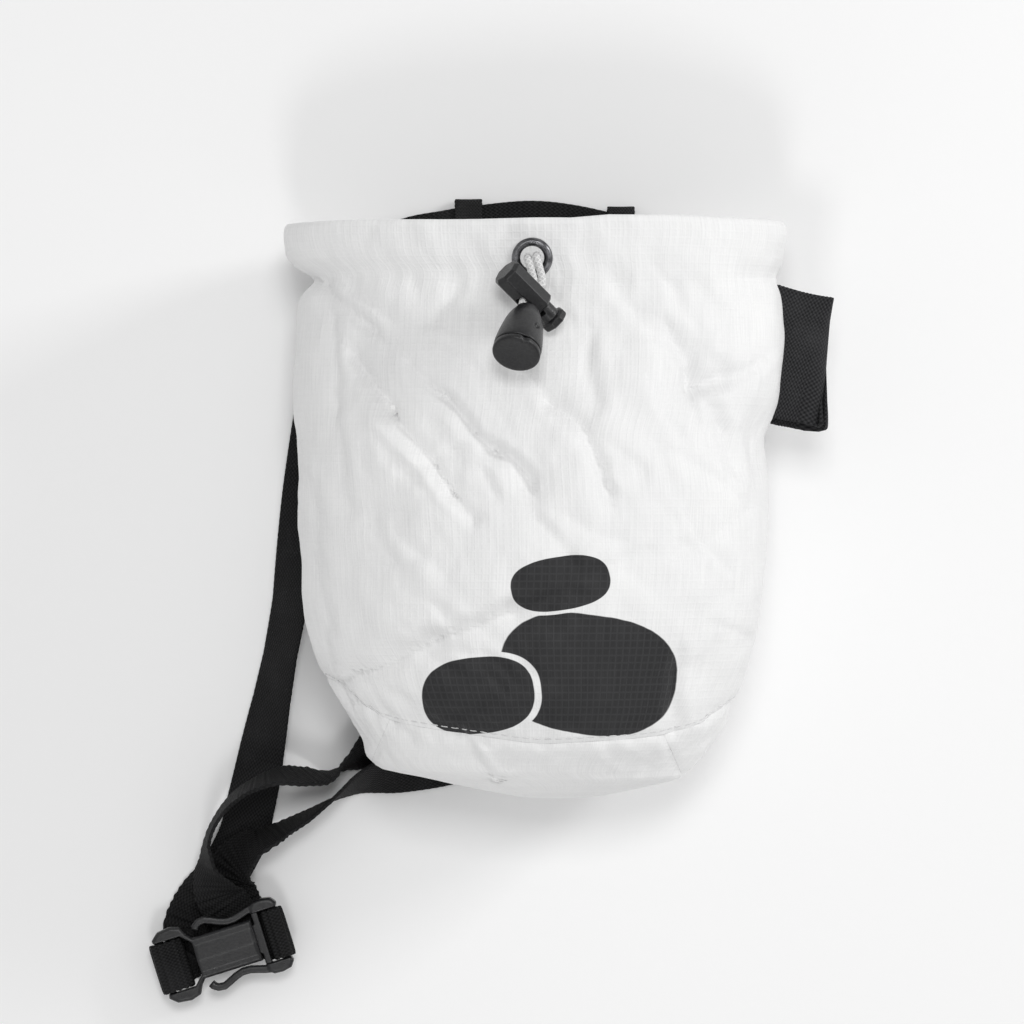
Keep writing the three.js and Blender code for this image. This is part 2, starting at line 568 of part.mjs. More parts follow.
// Draw cord: two strands out of the eyelet, through the lock and into the bell.
function strand(side) {
  const spread = side * (CORD_RADIUS + 0.12);
  const eyeletAxis = frontFacing(EYELET_AT);
  const entry = crossingMiddle.clone().addScaledVector(lockSide, LOCK_RADIUS);
  const exit = crossingMiddle.clone().addScaledVector(lockSide, -LOCK_RADIUS);
  const turnAt = entry.clone().addScaledVector(lockSide, 2.4);
  const towardsTurn = turnAt.clone().sub(eyeletSeat).setZ(0).normalize();
  const besideEyelet = new THREE.Vector3(-towardsTurn.y, towardsTurn.x, 0).multiplyScalar(spread);
  const besideLock = lockAxis.clone().multiplyScalar(spread);
  const sideOfBell = lockAxis.clone().addScaledVector(bellAxis, -lockAxis.dot(bellAxis)).normalize();
  const besideBell = sideOfBell.multiplyScalar(spread);
  const between = besideEyelet.clone().add(besideLock).normalize().multiplyScalar(Math.abs(spread));
  const points = [
    eyeletSeat.clone().addScaledVector(eyeletAxis, -CLOTH - 5).add(besideEyelet),
    eyeletSeat.clone().addScaledVector(eyeletAxis, -1).add(besideEyelet),
    eyeletSeat.clone().addScaledVector(eyeletAxis, 3).add(besideEyelet),
    turnAt.clone().add(between),
    entry.clone().add(besideLock),
    crossingMiddle.clone().add(besideLock),
    exit.clone().add(besideLock),
    bellTip.clone().add(besideBell),
    bellTip.clone().addScaledVector(bellAxis, BELL_NECK / 2).add(besideBell),
    bellTip.clone().addScaledVector(bellAxis, BELL_NECK + 3).add(besideBell),
  ];
  const route = new THREE.CatmullRomCurve3(points, false, "centripetal");
  const round = new THREE.Shape(
    Array.from({ length: 8 }, (_, i) => {
      const angle = (Math.PI * i) / 4;
      return new THREE.Vector2(CORD_RADIUS * Math.cos(angle), CORD_RADIUS * Math.sin(angle));
    }),
  );
  return closed(new THREE.ExtrudeGeometry(round, { steps: 22, extrudePath: route, bevelEnabled: false }));
}

// Brush loop: folded elastic on the right side, its ends trimmed to the bag.
function brushLoop() {
  const outer = BRUSH_LOOP_HEIGHT / 2;
  const inner = outer - BRUSH_LOOP_THICKNESS;
  const bend = BRUSH_LOOP_REACH - outer;
  const root = -BRUSH_LOOP_REACH;
  const shape = new THREE.Shape();
  shape.moveTo(root, -outer);
  shape.lineTo(bend, -outer);
  shape.absarc(bend, 0, outer, -Math.PI / 2, Math.PI / 2, false);
  shape.lineTo(root, outer);
  shape.lineTo(root, inner);
  shape.lineTo(bend, inner);
  shape.absarc(bend, 0, inner, Math.PI / 2, -Math.PI / 2, true);
  shape.lineTo(root, -inner);
  const across = new THREE.ExtrudeGeometry(shape, { depth: BRUSH_LOOP_WIDTH, bevelEnabled: false, steps: 4, curveSegments: 8 });
  across.rotateX(Math.PI / 2);
  const spots = across.attributes.position;
  for (let i = 0; i < spots.count; i += 1) {
    const x = spots.getX(i);
    const share = -spots.getY(i) / BRUSH_LOOP_WIDTH;
    spots.setX(i, x * (1 - 0.16 * share));
    spots.setY(i, spots.getY(i) - 0.22 * x);
    spots.setZ(i, spots.getZ(i) - 0.12 * x);
  }
  const side = BRUSH_LOOP_AT.x * BAG_HALF_WIDTH;
  across.translate(side, BRUSH_LOOP_AT.y * BAG_LENGTH, BRUSH_LOOP_AT.height * BAG_DEPTH);
  return closed(across).subtract(skin(-GAP, 5.3, 36, 12, 0));
}

// Buckle. In its own frame X runs along it from the socket's end to the plug's, Y across it and Z up.
const BAR_REACH = BUCKLE_HALF_LENGTH - WEBBING_THICKNESS - GAP - BUCKLE_BAR / 2;
const WRAP = BUCKLE_BAR / 2 + GAP + WEBBING_THICKNESS / 2; // webbing's middle line round a bar
const FRAME_LOW = 4.4 * WEBBING_THICKNESS; // over three layers of webbing
const FRAME_HIGH = FRAME_LOW + BUCKLE_THICKNESS;
const BAR_HEIGHT = (FRAME_LOW + FRAME_HIGH) / 2;
const SLOT_HALF = WEBBING_WIDTH / 2 + 0.4;
const SOCKET_BODY_START = -0.38 * BUCKLE_HALF_LENGTH;
const SOCKET_BODY_END = 0.53 * BUCKLE_HALF_LENGTH;
const PLUG_START = SOCKET_BODY_END + 0.4;
const PLUG_SLOT = PLUG_START + 2;

const buckleSpot = place(BUCKLE_AT);
const buckleFrame = new THREE.Matrix4()
  .makeRotationZ(THREE.MathUtils.degToRad(BUCKLE_TURN))
  .setPosition(buckleSpot.x, buckleSpot.y, 0);

const shapeOf = (outline) => new THREE.Shape(outline.map(([x, y]) => new THREE.Vector2(x, y)));

// A plate whose edges are rounded over.
function plate(outline, low, high, edge) {
  const bevel = { bevelEnabled: true, bevelSize: edge, bevelThickness: edge, bevelOffset: -edge, bevelSegments: 1 };
  const made = new THREE.ExtrudeGeometry(shapeOf(outline), { depth: high - low - 2 * edge, ...bevel });
  return closed(made.translate(0, 0, low + edge));
}

function slotCut(outline) {
  const made = new THREE.ExtrudeGeometry(shapeOf(outline), { depth: BUCKLE_THICKNESS + 2, bevelEnabled: false });
  return closed(made.translate(0, 0, FRAME_LOW - 1));
}

const mirrored = (half) => [...half, ...half.map(([x, y]) => [x, -y]).reverse()];

// The end bar is a rod between the frame's sides, so that the webbing wraps round it inside the frame's height.
function withRoundBar(frame, side) {
  const inner = side * (BAR_REACH - BUCKLE_BAR / 2 - 0.5);
  const outer = side * (BUCKLE_HALF_LENGTH + 1);
  const from = Math.min(inner, outer);
  const to = Math.max(inner, outer);
  const opening = closed(block([from, -SLOT_HALF, FRAME_LOW - 1], [to, SLOT_HALF, FRAME_HIGH + 1]));
  const rodLength = 2 * SLOT_HALF + 1.2;
  const bar = new THREE.CylinderGeometry(BUCKLE_BAR / 2, BUCKLE_BAR / 2, rodLength, 12);
  return frame.subtract(opening).add(closed(bar.translate(side * BAR_REACH, 0, BAR_HEIGHT)));
}

function buckleSocket() {
  const end = -BUCKLE_HALF_LENGTH;
  const bar = -BAR_REACH;
  const wide = BUCKLE_HALF_WIDTH;
  const ridge = BUCKLE_RIDGE_HALF_WIDTH;
  const outline = mirrored([
    [bar - BUCKLE_BAR / 2, SLOT_HALF - 1],
    [end + 1.4, wide - 2.4],
    [end + 3.6, wide - 0.5],
    [SOCKET_BODY_START - 5, wide],
    [SOCKET_BODY_START - 2, wide - 0.9],
    [SOCKET_BODY_START - 0.8, ridge + 1.6],
    [SOCKET_BODY_START + 0.6, ridge],
    [SOCKET_BODY_END, ridge],
  ]);
  const slot = [
    [bar + BUCKLE_BAR / 2, -SLOT_HALF],
    [SOCKET_BODY_START - 3, -SLOT_HALF],
    [SOCKET_BODY_START, -BUCKLE_RIDGE_HALF_WIDTH + 1.4],
    [SOCKET_BODY_START, BUCKLE_RIDGE_HALF_WIDTH - 1.4],
    [SOCKET_BODY_START - 3, SLOT_HALF],
    [bar + BUCKLE_BAR / 2, SLOT_HALF],
  ];
  const frame = withRoundBar(plate(outline, FRAME_LOW, FRAME_HIGH, 0.7).subtract(slotCut(slot)), -1);
  const crest = FRAME_HIGH + BUCKLE_RIDGE_RISE;
  const roof = (x, share) =>
    [
      [-ridge, FRAME_LOW + 1],
      [ridge, FRAME_LOW + 1],
      [ridge, FRAME_HIGH - 1.4],
      [ridge - 0.9, FRAME_HIGH - 0.5],
      [-0.6, crest],
      [-ridge + 0.9, FRAME_HIGH - 0.5],
      [-ridge, FRAME_HIGH - 1.4],
    ].map(([y, z]) => new THREE.Vector3(x, y * share, FRAME_LOW + 1 + (z - FRAME_LOW - 1) * share));
  const ridgeSolid = closed(
    loft([roof(SOCKET_BODY_START, 0.97), roof(SOCKET_BODY_START + 0.8, 1), roof(SOCKET_BODY_END - 1, 1), roof(SOCKET_BODY_END, 0.88)]),
  );
  const pocket = closed(
    block(
      [SOCKET_BODY_START + 3.4, -ridge + 1.7, FRAME_LOW + 1.1],
      [SOCKET_BODY_END + 2, ridge - 1.7, FRAME_HIGH - 1],
    ),
  );
  return frame.add(ridgeSolid).subtract(pocket);
}

// An arm's middle line, with its catch at the far end.
const ARM = [
  [0.6, 0.84],
  [0.48, 0.79],
  [0.32, 0.7],
  [0.16, 0.7],
  [0.0, 0.82],
  [-0.13, 0.91],
  [-0.25, 0.85],
  [-0.29, 0.73],
];
const ARM_WIDTH = 2.2;
const ARM_STEPS = 10;

function buckleArm(side) {
  const middle = ARM.map(([x, y]) => new THREE.Vector3(x * BUCKLE_HALF_LENGTH, side * y * BUCKLE_HALF_WIDTH, 0));
  const curve = new THREE.CatmullRomCurve3(middle, false, "centripetal");
  const left = [];
  const right = [];
  for (let i = 0; i <= ARM_STEPS; i += 1) {
    const spot = curve.getPoint(i / ARM_STEPS);
    const run = curve.getTangent(i / ARM_STEPS);
    left.push([spot.x - (run.y * ARM_WIDTH) / 2, spot.y + (run.x * ARM_WIDTH) / 2]);
    right.push([spot.x + (run.y * ARM_WIDTH) / 2, spot.y - (run.x * ARM_WIDTH) / 2]);
  }
  return plate([...left, ...right.reverse()], FRAME_LOW + 0.5, FRAME_HIGH - 0.4, 0.4);
}

function bucklePlug() {
  const end = BUCKLE_HALF_LENGTH;
  const wide = BUCKLE_HALF_WIDTH;
  const outline = mirrored([
    [PLUG_START, wide - 1.6],
    [PLUG_START + 1.6, wide - 0.2],
    [end - 5, wide],
    [end - 2.2, wide - 0.6],
    [end - 0.9, wide - 2.4],
    [BAR_REACH + BUCKLE_BAR / 2, SLOT_HALF - 1],
  ]);
  const slot = [
    [PLUG_SLOT, -SLOT_HALF],
    [BAR_REACH - BUCKLE_BAR / 2, -SLOT_HALF],
    [BAR_REACH - BUCKLE_BAR / 2, SLOT_HALF],
    [PLUG_SLOT, SLOT_HALF],
  ];
  const frame = withRoundBar(plate(outline, FRAME_LOW, FRAME_HIGH, 0.7).subtract(slotCut(slot)), 1)
    .subtract(closed(block([PLUG_START - 1, -SLOT_HALF, FRAME_LOW - 1], [PLUG_SLOT + 0.7, SLOT_HALF, FRAME_LOW + 1])))
    .subtract(closed(block([PLUG_START - 1, -SLOT_HALF, FRAME_HIGH - 1.6], [PLUG_SLOT + 0.7, SLOT_HALF, FRAME_HIGH + 1])));
  const half = BUCKLE_RIDGE_HALF_WIDTH - 1.7 - GAP;
  const tongue = closed(
    block([SOCKET_BODY_START + 6, -half, FRAME_LOW + 1.1 + GAP], [PLUG_START + 1, half, FRAME_HIGH - 1.6]),
  );
  return frame.add(buckleArm(1)).add(buckleArm(-1)).add(tongue);
}

const inBuckleFrame = (solid) => closed(moved(geometryOf(solid), buckleFrame));

// Waist belt: one length of webbing, sewn round the socket's bar, led through the loops behind the mouth,
// led round the plug's bar, with its tail tucked under the bag.

const beltHeight = (row) => {
  const lean = THREE.MathUtils.degToRad(row.roll);
  const half = Math.abs(Math.sin(lean)) * WEBBING_WIDTH + Math.abs(Math.cos(lean)) * WEBBING_THICKNESS;
  return row.lift * WEBBING_THICKNESS + half / 2;
};

const laid = (rows) =>
  rows.map((row) => {
    const spot = place(row);
    return { spot: new THREE.Vector3(spot.x, spot.y, beltHeight(row)), roll: row.roll };
  });

// Places on the buckle: x and y in its frame, z the height of the webbing's middle.
const onBuckle = (rows) =>
  rows.map(([x, y, z]) => ({ spot: new THREE.Vector3(x, y, z).applyMatrix4(buckleFrame), onBar: true }));

function wrapRows(side) {
  const bar = side * BAR_REACH;
  const rows = [];
  for (let i = 0; i <= 4; i += 1) {
    const angle = -Math.PI / 2 + (Math.PI * i) / 4;
    rows.push([bar + side * WRAP * Math.cos(angle), 0, BAR_HEIGHT + WRAP * Math.sin(angle)]);
  }
  return rows;
}

const FLOOR_LAYER = 0.06 * WEBBING_THICKNESS + WEBBING_THICKNESS / 2;
const SECOND_LAYER = FLOOR_LAYER + WEBBING_THICKNESS + GAP + 0.05;
const THIRD_LAYER = SECOND_LAYER + WEBBING_THICKNESS + GAP;
const TOP_LAYER = BAR_HEIGHT + WRAP;

function beltStations() {
  const socketWrap = onBuckle([
    [-BAR_REACH + 6.2, 0, BAR_HEIGHT - 1.6],
    [-BAR_REACH + 5.9, 0, BAR_HEIGHT + 0.9],
    [-BAR_REACH + 4.6, 0, TOP_LAYER - 0.15],
    [-BAR_REACH + 2.3, 0, TOP_LAYER],
    ...wrapRows(-1).reverse(),
    [-BAR_REACH + 2.6, 0.1, BAR_HEIGHT - WRAP - 1.5],
    [-BAR_REACH + 5.4, 0.8, FLOOR_LAYER + 0.5],
    [-BAR_REACH + 7.8, 2.6, FLOOR_LAYER],
    [-BAR_REACH + 9.3, 5.6, FLOOR_LAYER + 0.3],
  ]);
  const plugWrap = onBuckle([
    [BAR_REACH - 8.4, 3.4, FLOOR_LAYER],
    [BAR_REACH - 5.2, 0.9, FLOOR_LAYER],
    [BAR_REACH - 2.6, 0, FLOOR_LAYER + 1.3 * WEBBING_THICKNESS],
    ...wrapRows(1),
    [BAR_REACH - 1.4, 0, TOP_LAYER - 0.1],
    [BAR_REACH - 2.5, 0, TOP_LAYER - 0.9],
    [BAR_REACH - 2.8, 0, BAR_HEIGHT - 0.3],
    [BAR_REACH - 3.4, 0, BAR_HEIGHT - 2.2],
    [BAR_REACH - 5.4, 0.5, THIRD_LAYER + 0.8],
    [BAR_REACH - 9.6, 3.6, THIRD_LAYER + 0.8],
  ]);
  return [
    ...socketWrap,
    ...laid(BELT_TO_LOOPS),
    ...laid([LEFT_LOOP]),
    ...laid(BELT_BETWEEN_LOOPS),
    ...laid([RIGHT_LOOP]),
    ...laid(BELT_FROM_LOOPS),
    ...plugWrap,
    ...laid(BELT_TAIL),
  ];
}

const stations = beltStations();
const beltLine = new THREE.CatmullRomCurve3(stations.map((s) => s.spot), false, "centripetal");
const barDirection = new THREE.Vector3(0, 1, 0).transformDirection(buckleFrame);

function acrossAt(index) {
  const run = beltLine.getTangent(index / (stations.length - 1));
  if (stations[index].onBar) return barDirection.clone();
  const level = new THREE.Vector3(-run.y, run.x, 0).normalize();
  const up = new THREE.Vector3().crossVectors(run, level).normalize();
  const lean = THREE.MathUtils.degToRad(stations[index].roll);
  return level.multiplyScalar(Math.cos(lean)).addScaledVector(up, Math.sin(lean));
}

function waistBelt() {
  const directions = [];
  for (let i = 0; i < stations.length; i += 1) {
    const direction = acrossAt(i);
    const last = directions.at(-1);
    if (last && last.dot(direction) < 0) direction.negate();
    directions.push(direction);
  }
  const rings = [];
  for (let i = 0; i + 1 < stations.length; i += 1) {
    const reach = stations[i].spot.distanceTo(stations[i + 1].spot);
    const steps = Math.max(1, Math.ceil(reach / 6));
    const last = i + 2 === stations.length ? steps : steps - 1;
    for (let k = 0; k <= last; k += 1) {
      const t = (i + k / steps) / (stations.length - 1);
      const middle = beltLine.getPoint(t);
      const run = beltLine.getTangent(t);
      const across = directions[i].clone().lerp(directions[i + 1], k / steps);
      across.addScaledVector(run, -across.dot(run)).normalize();
      const face = new THREE.Vector3().crossVectors(run, across);
      const corner = (a, b) =>
        middle.clone().addScaledVector(across, (a * WEBBING_WIDTH) / 2).addScaledVector(face, (b * WEBBING_THICKNESS) / 2);
      const ring = [corner(1, 1), corner(-1, 1), corner(-1, -1), corner(1, -1)];
      const sunk = Math.min(0, ...ring.map((point) => point.z));
      for (const point of ring) point.z -= sunk;
      rings.push(ring);
    }
  }
  return closed(loft(rings));
}

// Belt loop: flat tape round the belt, under the collar's back. It stands along the bag while the belt slants through it.
const LOOP_CLEARANCE = 0.3;
function beltLoop(row) {
  const index = stations.findIndex((s) => s.spot.distanceTo(laid([row])[0].spot) < 1e-6);
  const middle = stations[index].spot;
  const run = beltLine.getTangent(index / (stations.length - 1));
  const slant = Math.abs(run.y / run.x);
  const innerHalfHeight = WEBBING_THICKNESS / 2 + LOOP_CLEARANCE;
  const innerHalfWidth = WEBBING_WIDTH / 2 + 2 * LOOP_CLEARANCE + (slant * TAPE_WIDTH) / 2 + GAP;
  const ring = (grow) => {
    const high = innerHalfHeight + grow;
    const wide = innerHalfWidth + grow;
    const cut = 0.35 * high;
    return [
      [-wide, -high + cut],
      [-wide + cut, -high],
      [wide - cut, -high],
      [wide, -high + cut],
      [wide, high - cut],
      [wide - cut, high],
      [-wide + cut, high],
      [-wide, high - cut],
    ].map(([x, y]) => new THREE.Vector2(x, y));
  };
  const shape = new THREE.Shape(ring(TAPE_THICKNESS));
  shape.holes.push(new THREE.Path(ring(0)));
  const tape = new THREE.ExtrudeGeometry(shape, { depth: TAPE_WIDTH, bevelEnabled: false }).translate(0, 0, -TAPE_WIDTH / 2);
  const sideways = new THREE.Vector3(0, 1, 0);
  const upwards = new THREE.Vector3(0, 0, 1);
  const frame = new THREE.Matrix4().makeBasis(sideways, upwards, new THREE.Vector3(1, 0, 0)).setPosition(middle);
  return closed(moved(tape, frame));
}

// Materials and nodes

const finish = (colour, roughness, metalness) => new THREE.MeshStandardMaterial({ color: colour, roughness, metalness });
const cloth = () => finish(0xf3f3f1, 0.85, 0);
const webbing = () => finish(0x141414, 0.9, 0);
const plastic = () => finish(0x18181a, 0.45, 0);

const chalkBag = new THREE.Group();
const nodes = [
  ["rim_collar", collar, cloth()],
  ["bag_body", body, cloth()],
  ["base_panel", basePanel, cloth()],
  ["base_gusset_left", gussetLeft, cloth()],
  ["base_gusset_right", gussetRight, cloth()],
  ["brush_loop", brushLoop(), webbing()],
  ["belt_loop_left", beltLoop(LEFT_LOOP), webbing()],
  ["belt_loop_right", beltLoop(RIGHT_LOOP), webbing()],
  ["eyelet", eyelet(), finish(0x4a4c50, 0.35, 0.9)],
  ["drawcord_left", strand(-1), finish(0xf0f0ee, 0.8, 0)],
  ["drawcord_right", strand(1), finish(0xf0f0ee, 0.8, 0)],
  ["cord_lock_barrel", inLockFrame(lockBarrel()), plastic()],
  ["cord_lock_plunger", inLockFrame(lockPlunger()), plastic()],
  ["cord_end_bell", cordEndBell(), plastic()],
  ["cord_end_cap", cordEndCap(), plastic()],
  ["waist_belt", waistBelt(), webbing()],
  ["buckle_socket", inBuckleFrame(buckleSocket()), plastic()],
  ["buckle_plug", inBuckleFrame(bucklePlug()), plastic()],
];
for (const [name, solid, material] of nodes) {
  const mesh = new THREE.Mesh(geometryOf(solid), material);
  mesh.name = name;
  chalkBag.add(mesh);
}

const box = new THREE.Box3().setFromObject(chalkBag);
const middle = box.getCenter(new THREE.Vector3());
chalkBag.position.set(-middle.x, -middle.y, -box.min.z);

export default chalkBag;
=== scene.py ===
import math

import bmesh
import bpy
import numpy as np
from mathutils import Matrix, Vector


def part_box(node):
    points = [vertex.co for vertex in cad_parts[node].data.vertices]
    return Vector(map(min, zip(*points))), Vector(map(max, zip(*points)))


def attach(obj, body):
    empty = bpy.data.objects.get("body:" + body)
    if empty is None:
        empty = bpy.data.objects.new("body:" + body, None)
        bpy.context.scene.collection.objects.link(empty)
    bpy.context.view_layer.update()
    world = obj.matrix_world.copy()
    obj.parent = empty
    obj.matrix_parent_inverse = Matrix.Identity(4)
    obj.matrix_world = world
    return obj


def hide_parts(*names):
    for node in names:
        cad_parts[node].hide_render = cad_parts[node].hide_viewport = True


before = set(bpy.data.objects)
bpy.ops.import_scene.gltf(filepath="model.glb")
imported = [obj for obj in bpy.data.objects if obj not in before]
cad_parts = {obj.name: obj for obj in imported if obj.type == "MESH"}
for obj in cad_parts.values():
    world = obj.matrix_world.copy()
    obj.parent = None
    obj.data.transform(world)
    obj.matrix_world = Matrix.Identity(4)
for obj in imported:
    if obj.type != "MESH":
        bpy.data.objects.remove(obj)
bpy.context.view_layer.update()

MM = 0.001
BAG_LENGTH = 165.5 * MM
BAG_HALF_WIDTH = 74 * MM
BAG_DEPTH = 88 * MM
CLOTH = 2 * MM
WEBBING_WIDTH = 15 * MM
WEBBING_THICKNESS = 1.4 * MM
TAPE_WIDTH = 8 * MM
TAPE_THICKNESS = 0.8 * MM
BRUSH_LOOP_WIDTH = 38 * MM
BRUSH_LOOP_REACH = 15.5 * MM
BRUSH_LOOP_HEIGHT = 9 * MM
BRUSH_LOOP_THICKNESS = 1.6 * MM
BRUSH_LOOP_AT = (0.93, 0.894, 0.47)  # shares of the half width, length and depth
CORD_RADIUS = 1.15 * MM
SKIN_GIRTH = 372 * MM  # round the fullest part of the cloth
BUCKLE_TURN = math.radians(17.5)
RIPSTOP_PITCH = 2.1 * MM
BELT_RIB_PITCH = 2.1 * MM
TAPE_RIB_PITCH = 0.95 * MM
KNIT_PITCH = 1.1 * MM
BRAID_PITCH = 1.5 * MM
STITCH_PITCH = 3.1 * MM
STITCH_LENGTH = 2.3 * MM
BAG_ORIGIN = np.array([16.336, -56.2675, 0.0]) * MM  # middle of the base's end, on the surface

# Outline of the bag from base to mouth: share of its length, then left, right, front and back.
SECTIONS = np.array([
    (0.0, -0.12, 0.24, 0.58, 0.33),
    (0.012, -0.26, 0.37, 0.66, 0.22),
    (0.03, -0.45, 0.53, 0.74, 0.13),
    (0.047, -0.63, 0.575, 0.785, 0.085),
    (0.065, -0.69, 0.615, 0.82, 0.055),
    (0.1, -0.705, 0.67, 0.885, 0.036),
    (0.17, -0.798, 0.755, 0.945, 0.025),
    (0.24, -0.881, 0.81, 0.97, 0.025),
    (0.31, -0.928, 0.845, 0.99, 0.025),
    (0.415, -0.944, 0.882, 1.0, 0.025),
    (0.52, -0.956, 0.885, 0.985, 0.025),
    (0.626, -0.958, 0.868, 0.955, 0.025),
    (0.69, -0.968, 0.925, 0.93, 0.027),
    (0.78, -0.966, 0.95, 0.885, 0.034),
    (0.875, -0.952, 0.94, 0.828, 0.043),
    (0.912, -0.93, 0.93, 0.822, 0.047),
    (0.94, -0.99, 0.948, 0.828, 0.048),
    (0.975, -1.018, 0.972, 0.837, 0.048),
    (1.0, -1.02, 0.968, 0.845, 0.048),
])
FRONT_POWER = 2.25
BACK_POWER = 3.6

BASE_SEAM = np.array([
    (-0.849, 0.217), (-0.649, 0.142), (-0.432, 0.126), (-0.011, 0.1),
    (0.411, 0.111), (0.568, 0.124), (0.692, 0.145), (0.782, 0.1855),
])
COLLAR_SEAM = np.array([(-1.0, 0.912), (-0.6, 0.9), (-0.04, 0.886), (0.6, 0.9), (1.0, 0.91)])
LEFT_MITRE = ((-0.57, 0.16), (-0.75, -0.02))
RIGHT_MITRE = ((0.42, 0.16), (0.61, -0.02))

# Creases: start and end in shares of half width and length, then width and depth in millimetres, and the lip's side.
# A crease is a sharp line in the cloth with a soft lip beside it. A lip's side of 0 has none.
CREASES = [
    (-0.735, 0.765, -0.6, 0.672, 1.7, 2.9, -1),
    (-0.6, 0.672, -0.347, 0.53, 1.6, 3.0, -1),
    (-0.347, 0.53, -0.25, 0.49, 1.4, 1.6, -1),
    (-0.5, 0.76, -0.36, 0.69, 1.4, 1.7, 1),
    (-0.38, 0.7, -0.2, 0.61, 1.5, 2.5, 1),
    (-0.2, 0.61, -0.05, 0.555, 1.3, 2.4, 1),
    (-0.05, 0.555, -0.02, 0.53, 1.6, 1.6, 0),
    (-0.133, 0.78, 0.03, 0.69, 2.0, 1.5, -1),
    (0.03, 0.69, 0.23, 0.585, 1.8, 1.9, -1),
    (0.23, 0.585, 0.26, 0.525, 1.5, 1.7, 1),
    (0.185, 0.8, 0.19, 0.685, 2.0, 1.5, 1),
    (0.53, 0.8, 0.585, 0.71, 2.4, 2.6, 1),
    (0.585, 0.71, 0.7, 0.715, 2.0, 2.3, -1),
    (0.66, 0.72, 0.83, 0.752, 1.7, 1.7, -1),
    (0.7, 0.67, 0.755, 0.57, 1.9, 1.6, 1),
    (-0.735, 0.215, -0.43, 0.28, 2.4, 2.6, 1),
    (-0.43, 0.28, -0.12, 0.33, 2.2, 2.3, 1),
    (-0.12, 0.33, 0.12, 0.36, 2.0, 1.4, 1),
    (-0.33, 0.125, -0.21, 0.045, 1.4, 2.0, 1),
    (-0.26, 0.12, -0.15, 0.06, 1.1, 1.1, -1),
    (0.53, 0.26, 0.535, 0.14, 1.6, 1.4, 1),
    (0.61, 0.24, 0.6, 0.15, 1.3, 0.9, -1),
    (-0.83, 0.84, -0.79, 0.68, 1.8, 1.3, 1),
    (-0.79, 0.68, -0.75, 0.5, 1.8, 1.0, 1),
    (-0.87, 0.9, -0.66, 0.81, 1.5, 1.9, 1),
    (-0.75, 0.885, -0.62, 0.84, 1.3, 1.1, -1),
    (-0.22, 0.57, -0.17, 0.53, 1.1, 0.9, 1),
    (-0.02, 0.49, 0.12, 0.41, 1.6, 0.8, 1),
    (0.84, 0.68, 0.8, 0.42, 1.9, 0.9, -1),
    (-0.9, 0.55, -0.84, 0.3, 2.0, 0.9, 1),
    (0.3, 0.87, 0.42, 0.8, 1.6, 0.9, -1),
    (0.5, 0.885, 0.6, 0.83, 1.4, 0.9, 1),
    (-0.32, 0.88, -0.42, 0.82, 1.4, 0.9, 1),
    (0.03, 0.875, 0.12, 0.8, 1.5, 0.8, 1),
]

# Broad swells and hollows under the creases, in the same shares, with a hollow above 0.
SWELLS = [
    (-0.133, 0.854, -0.531, 0.738, 5.6, -1.5),
    (-0.66, 0.64, -0.42, 0.5, 6.0, -1.4),
    (-0.56, 0.72, -0.32, 0.58, 3.6, 0.9),
    (0.57, 0.77, 0.61, 0.72, 8.0, 2.2),
    (0.1, 0.62, 0.2, 0.5, 7.0, -0.9),
    (-0.5, 0.24, 0.0, 0.31, 6.0, 1.0),
    (-0.5, 0.38, 0.1, 0.43, 7.0, -0.8),
    (0.35, 0.42, 0.6, 0.5, 9.0, 0.8),
    (-0.2, 0.0, 0.2, 0.0, 5.0, 0.8),
]

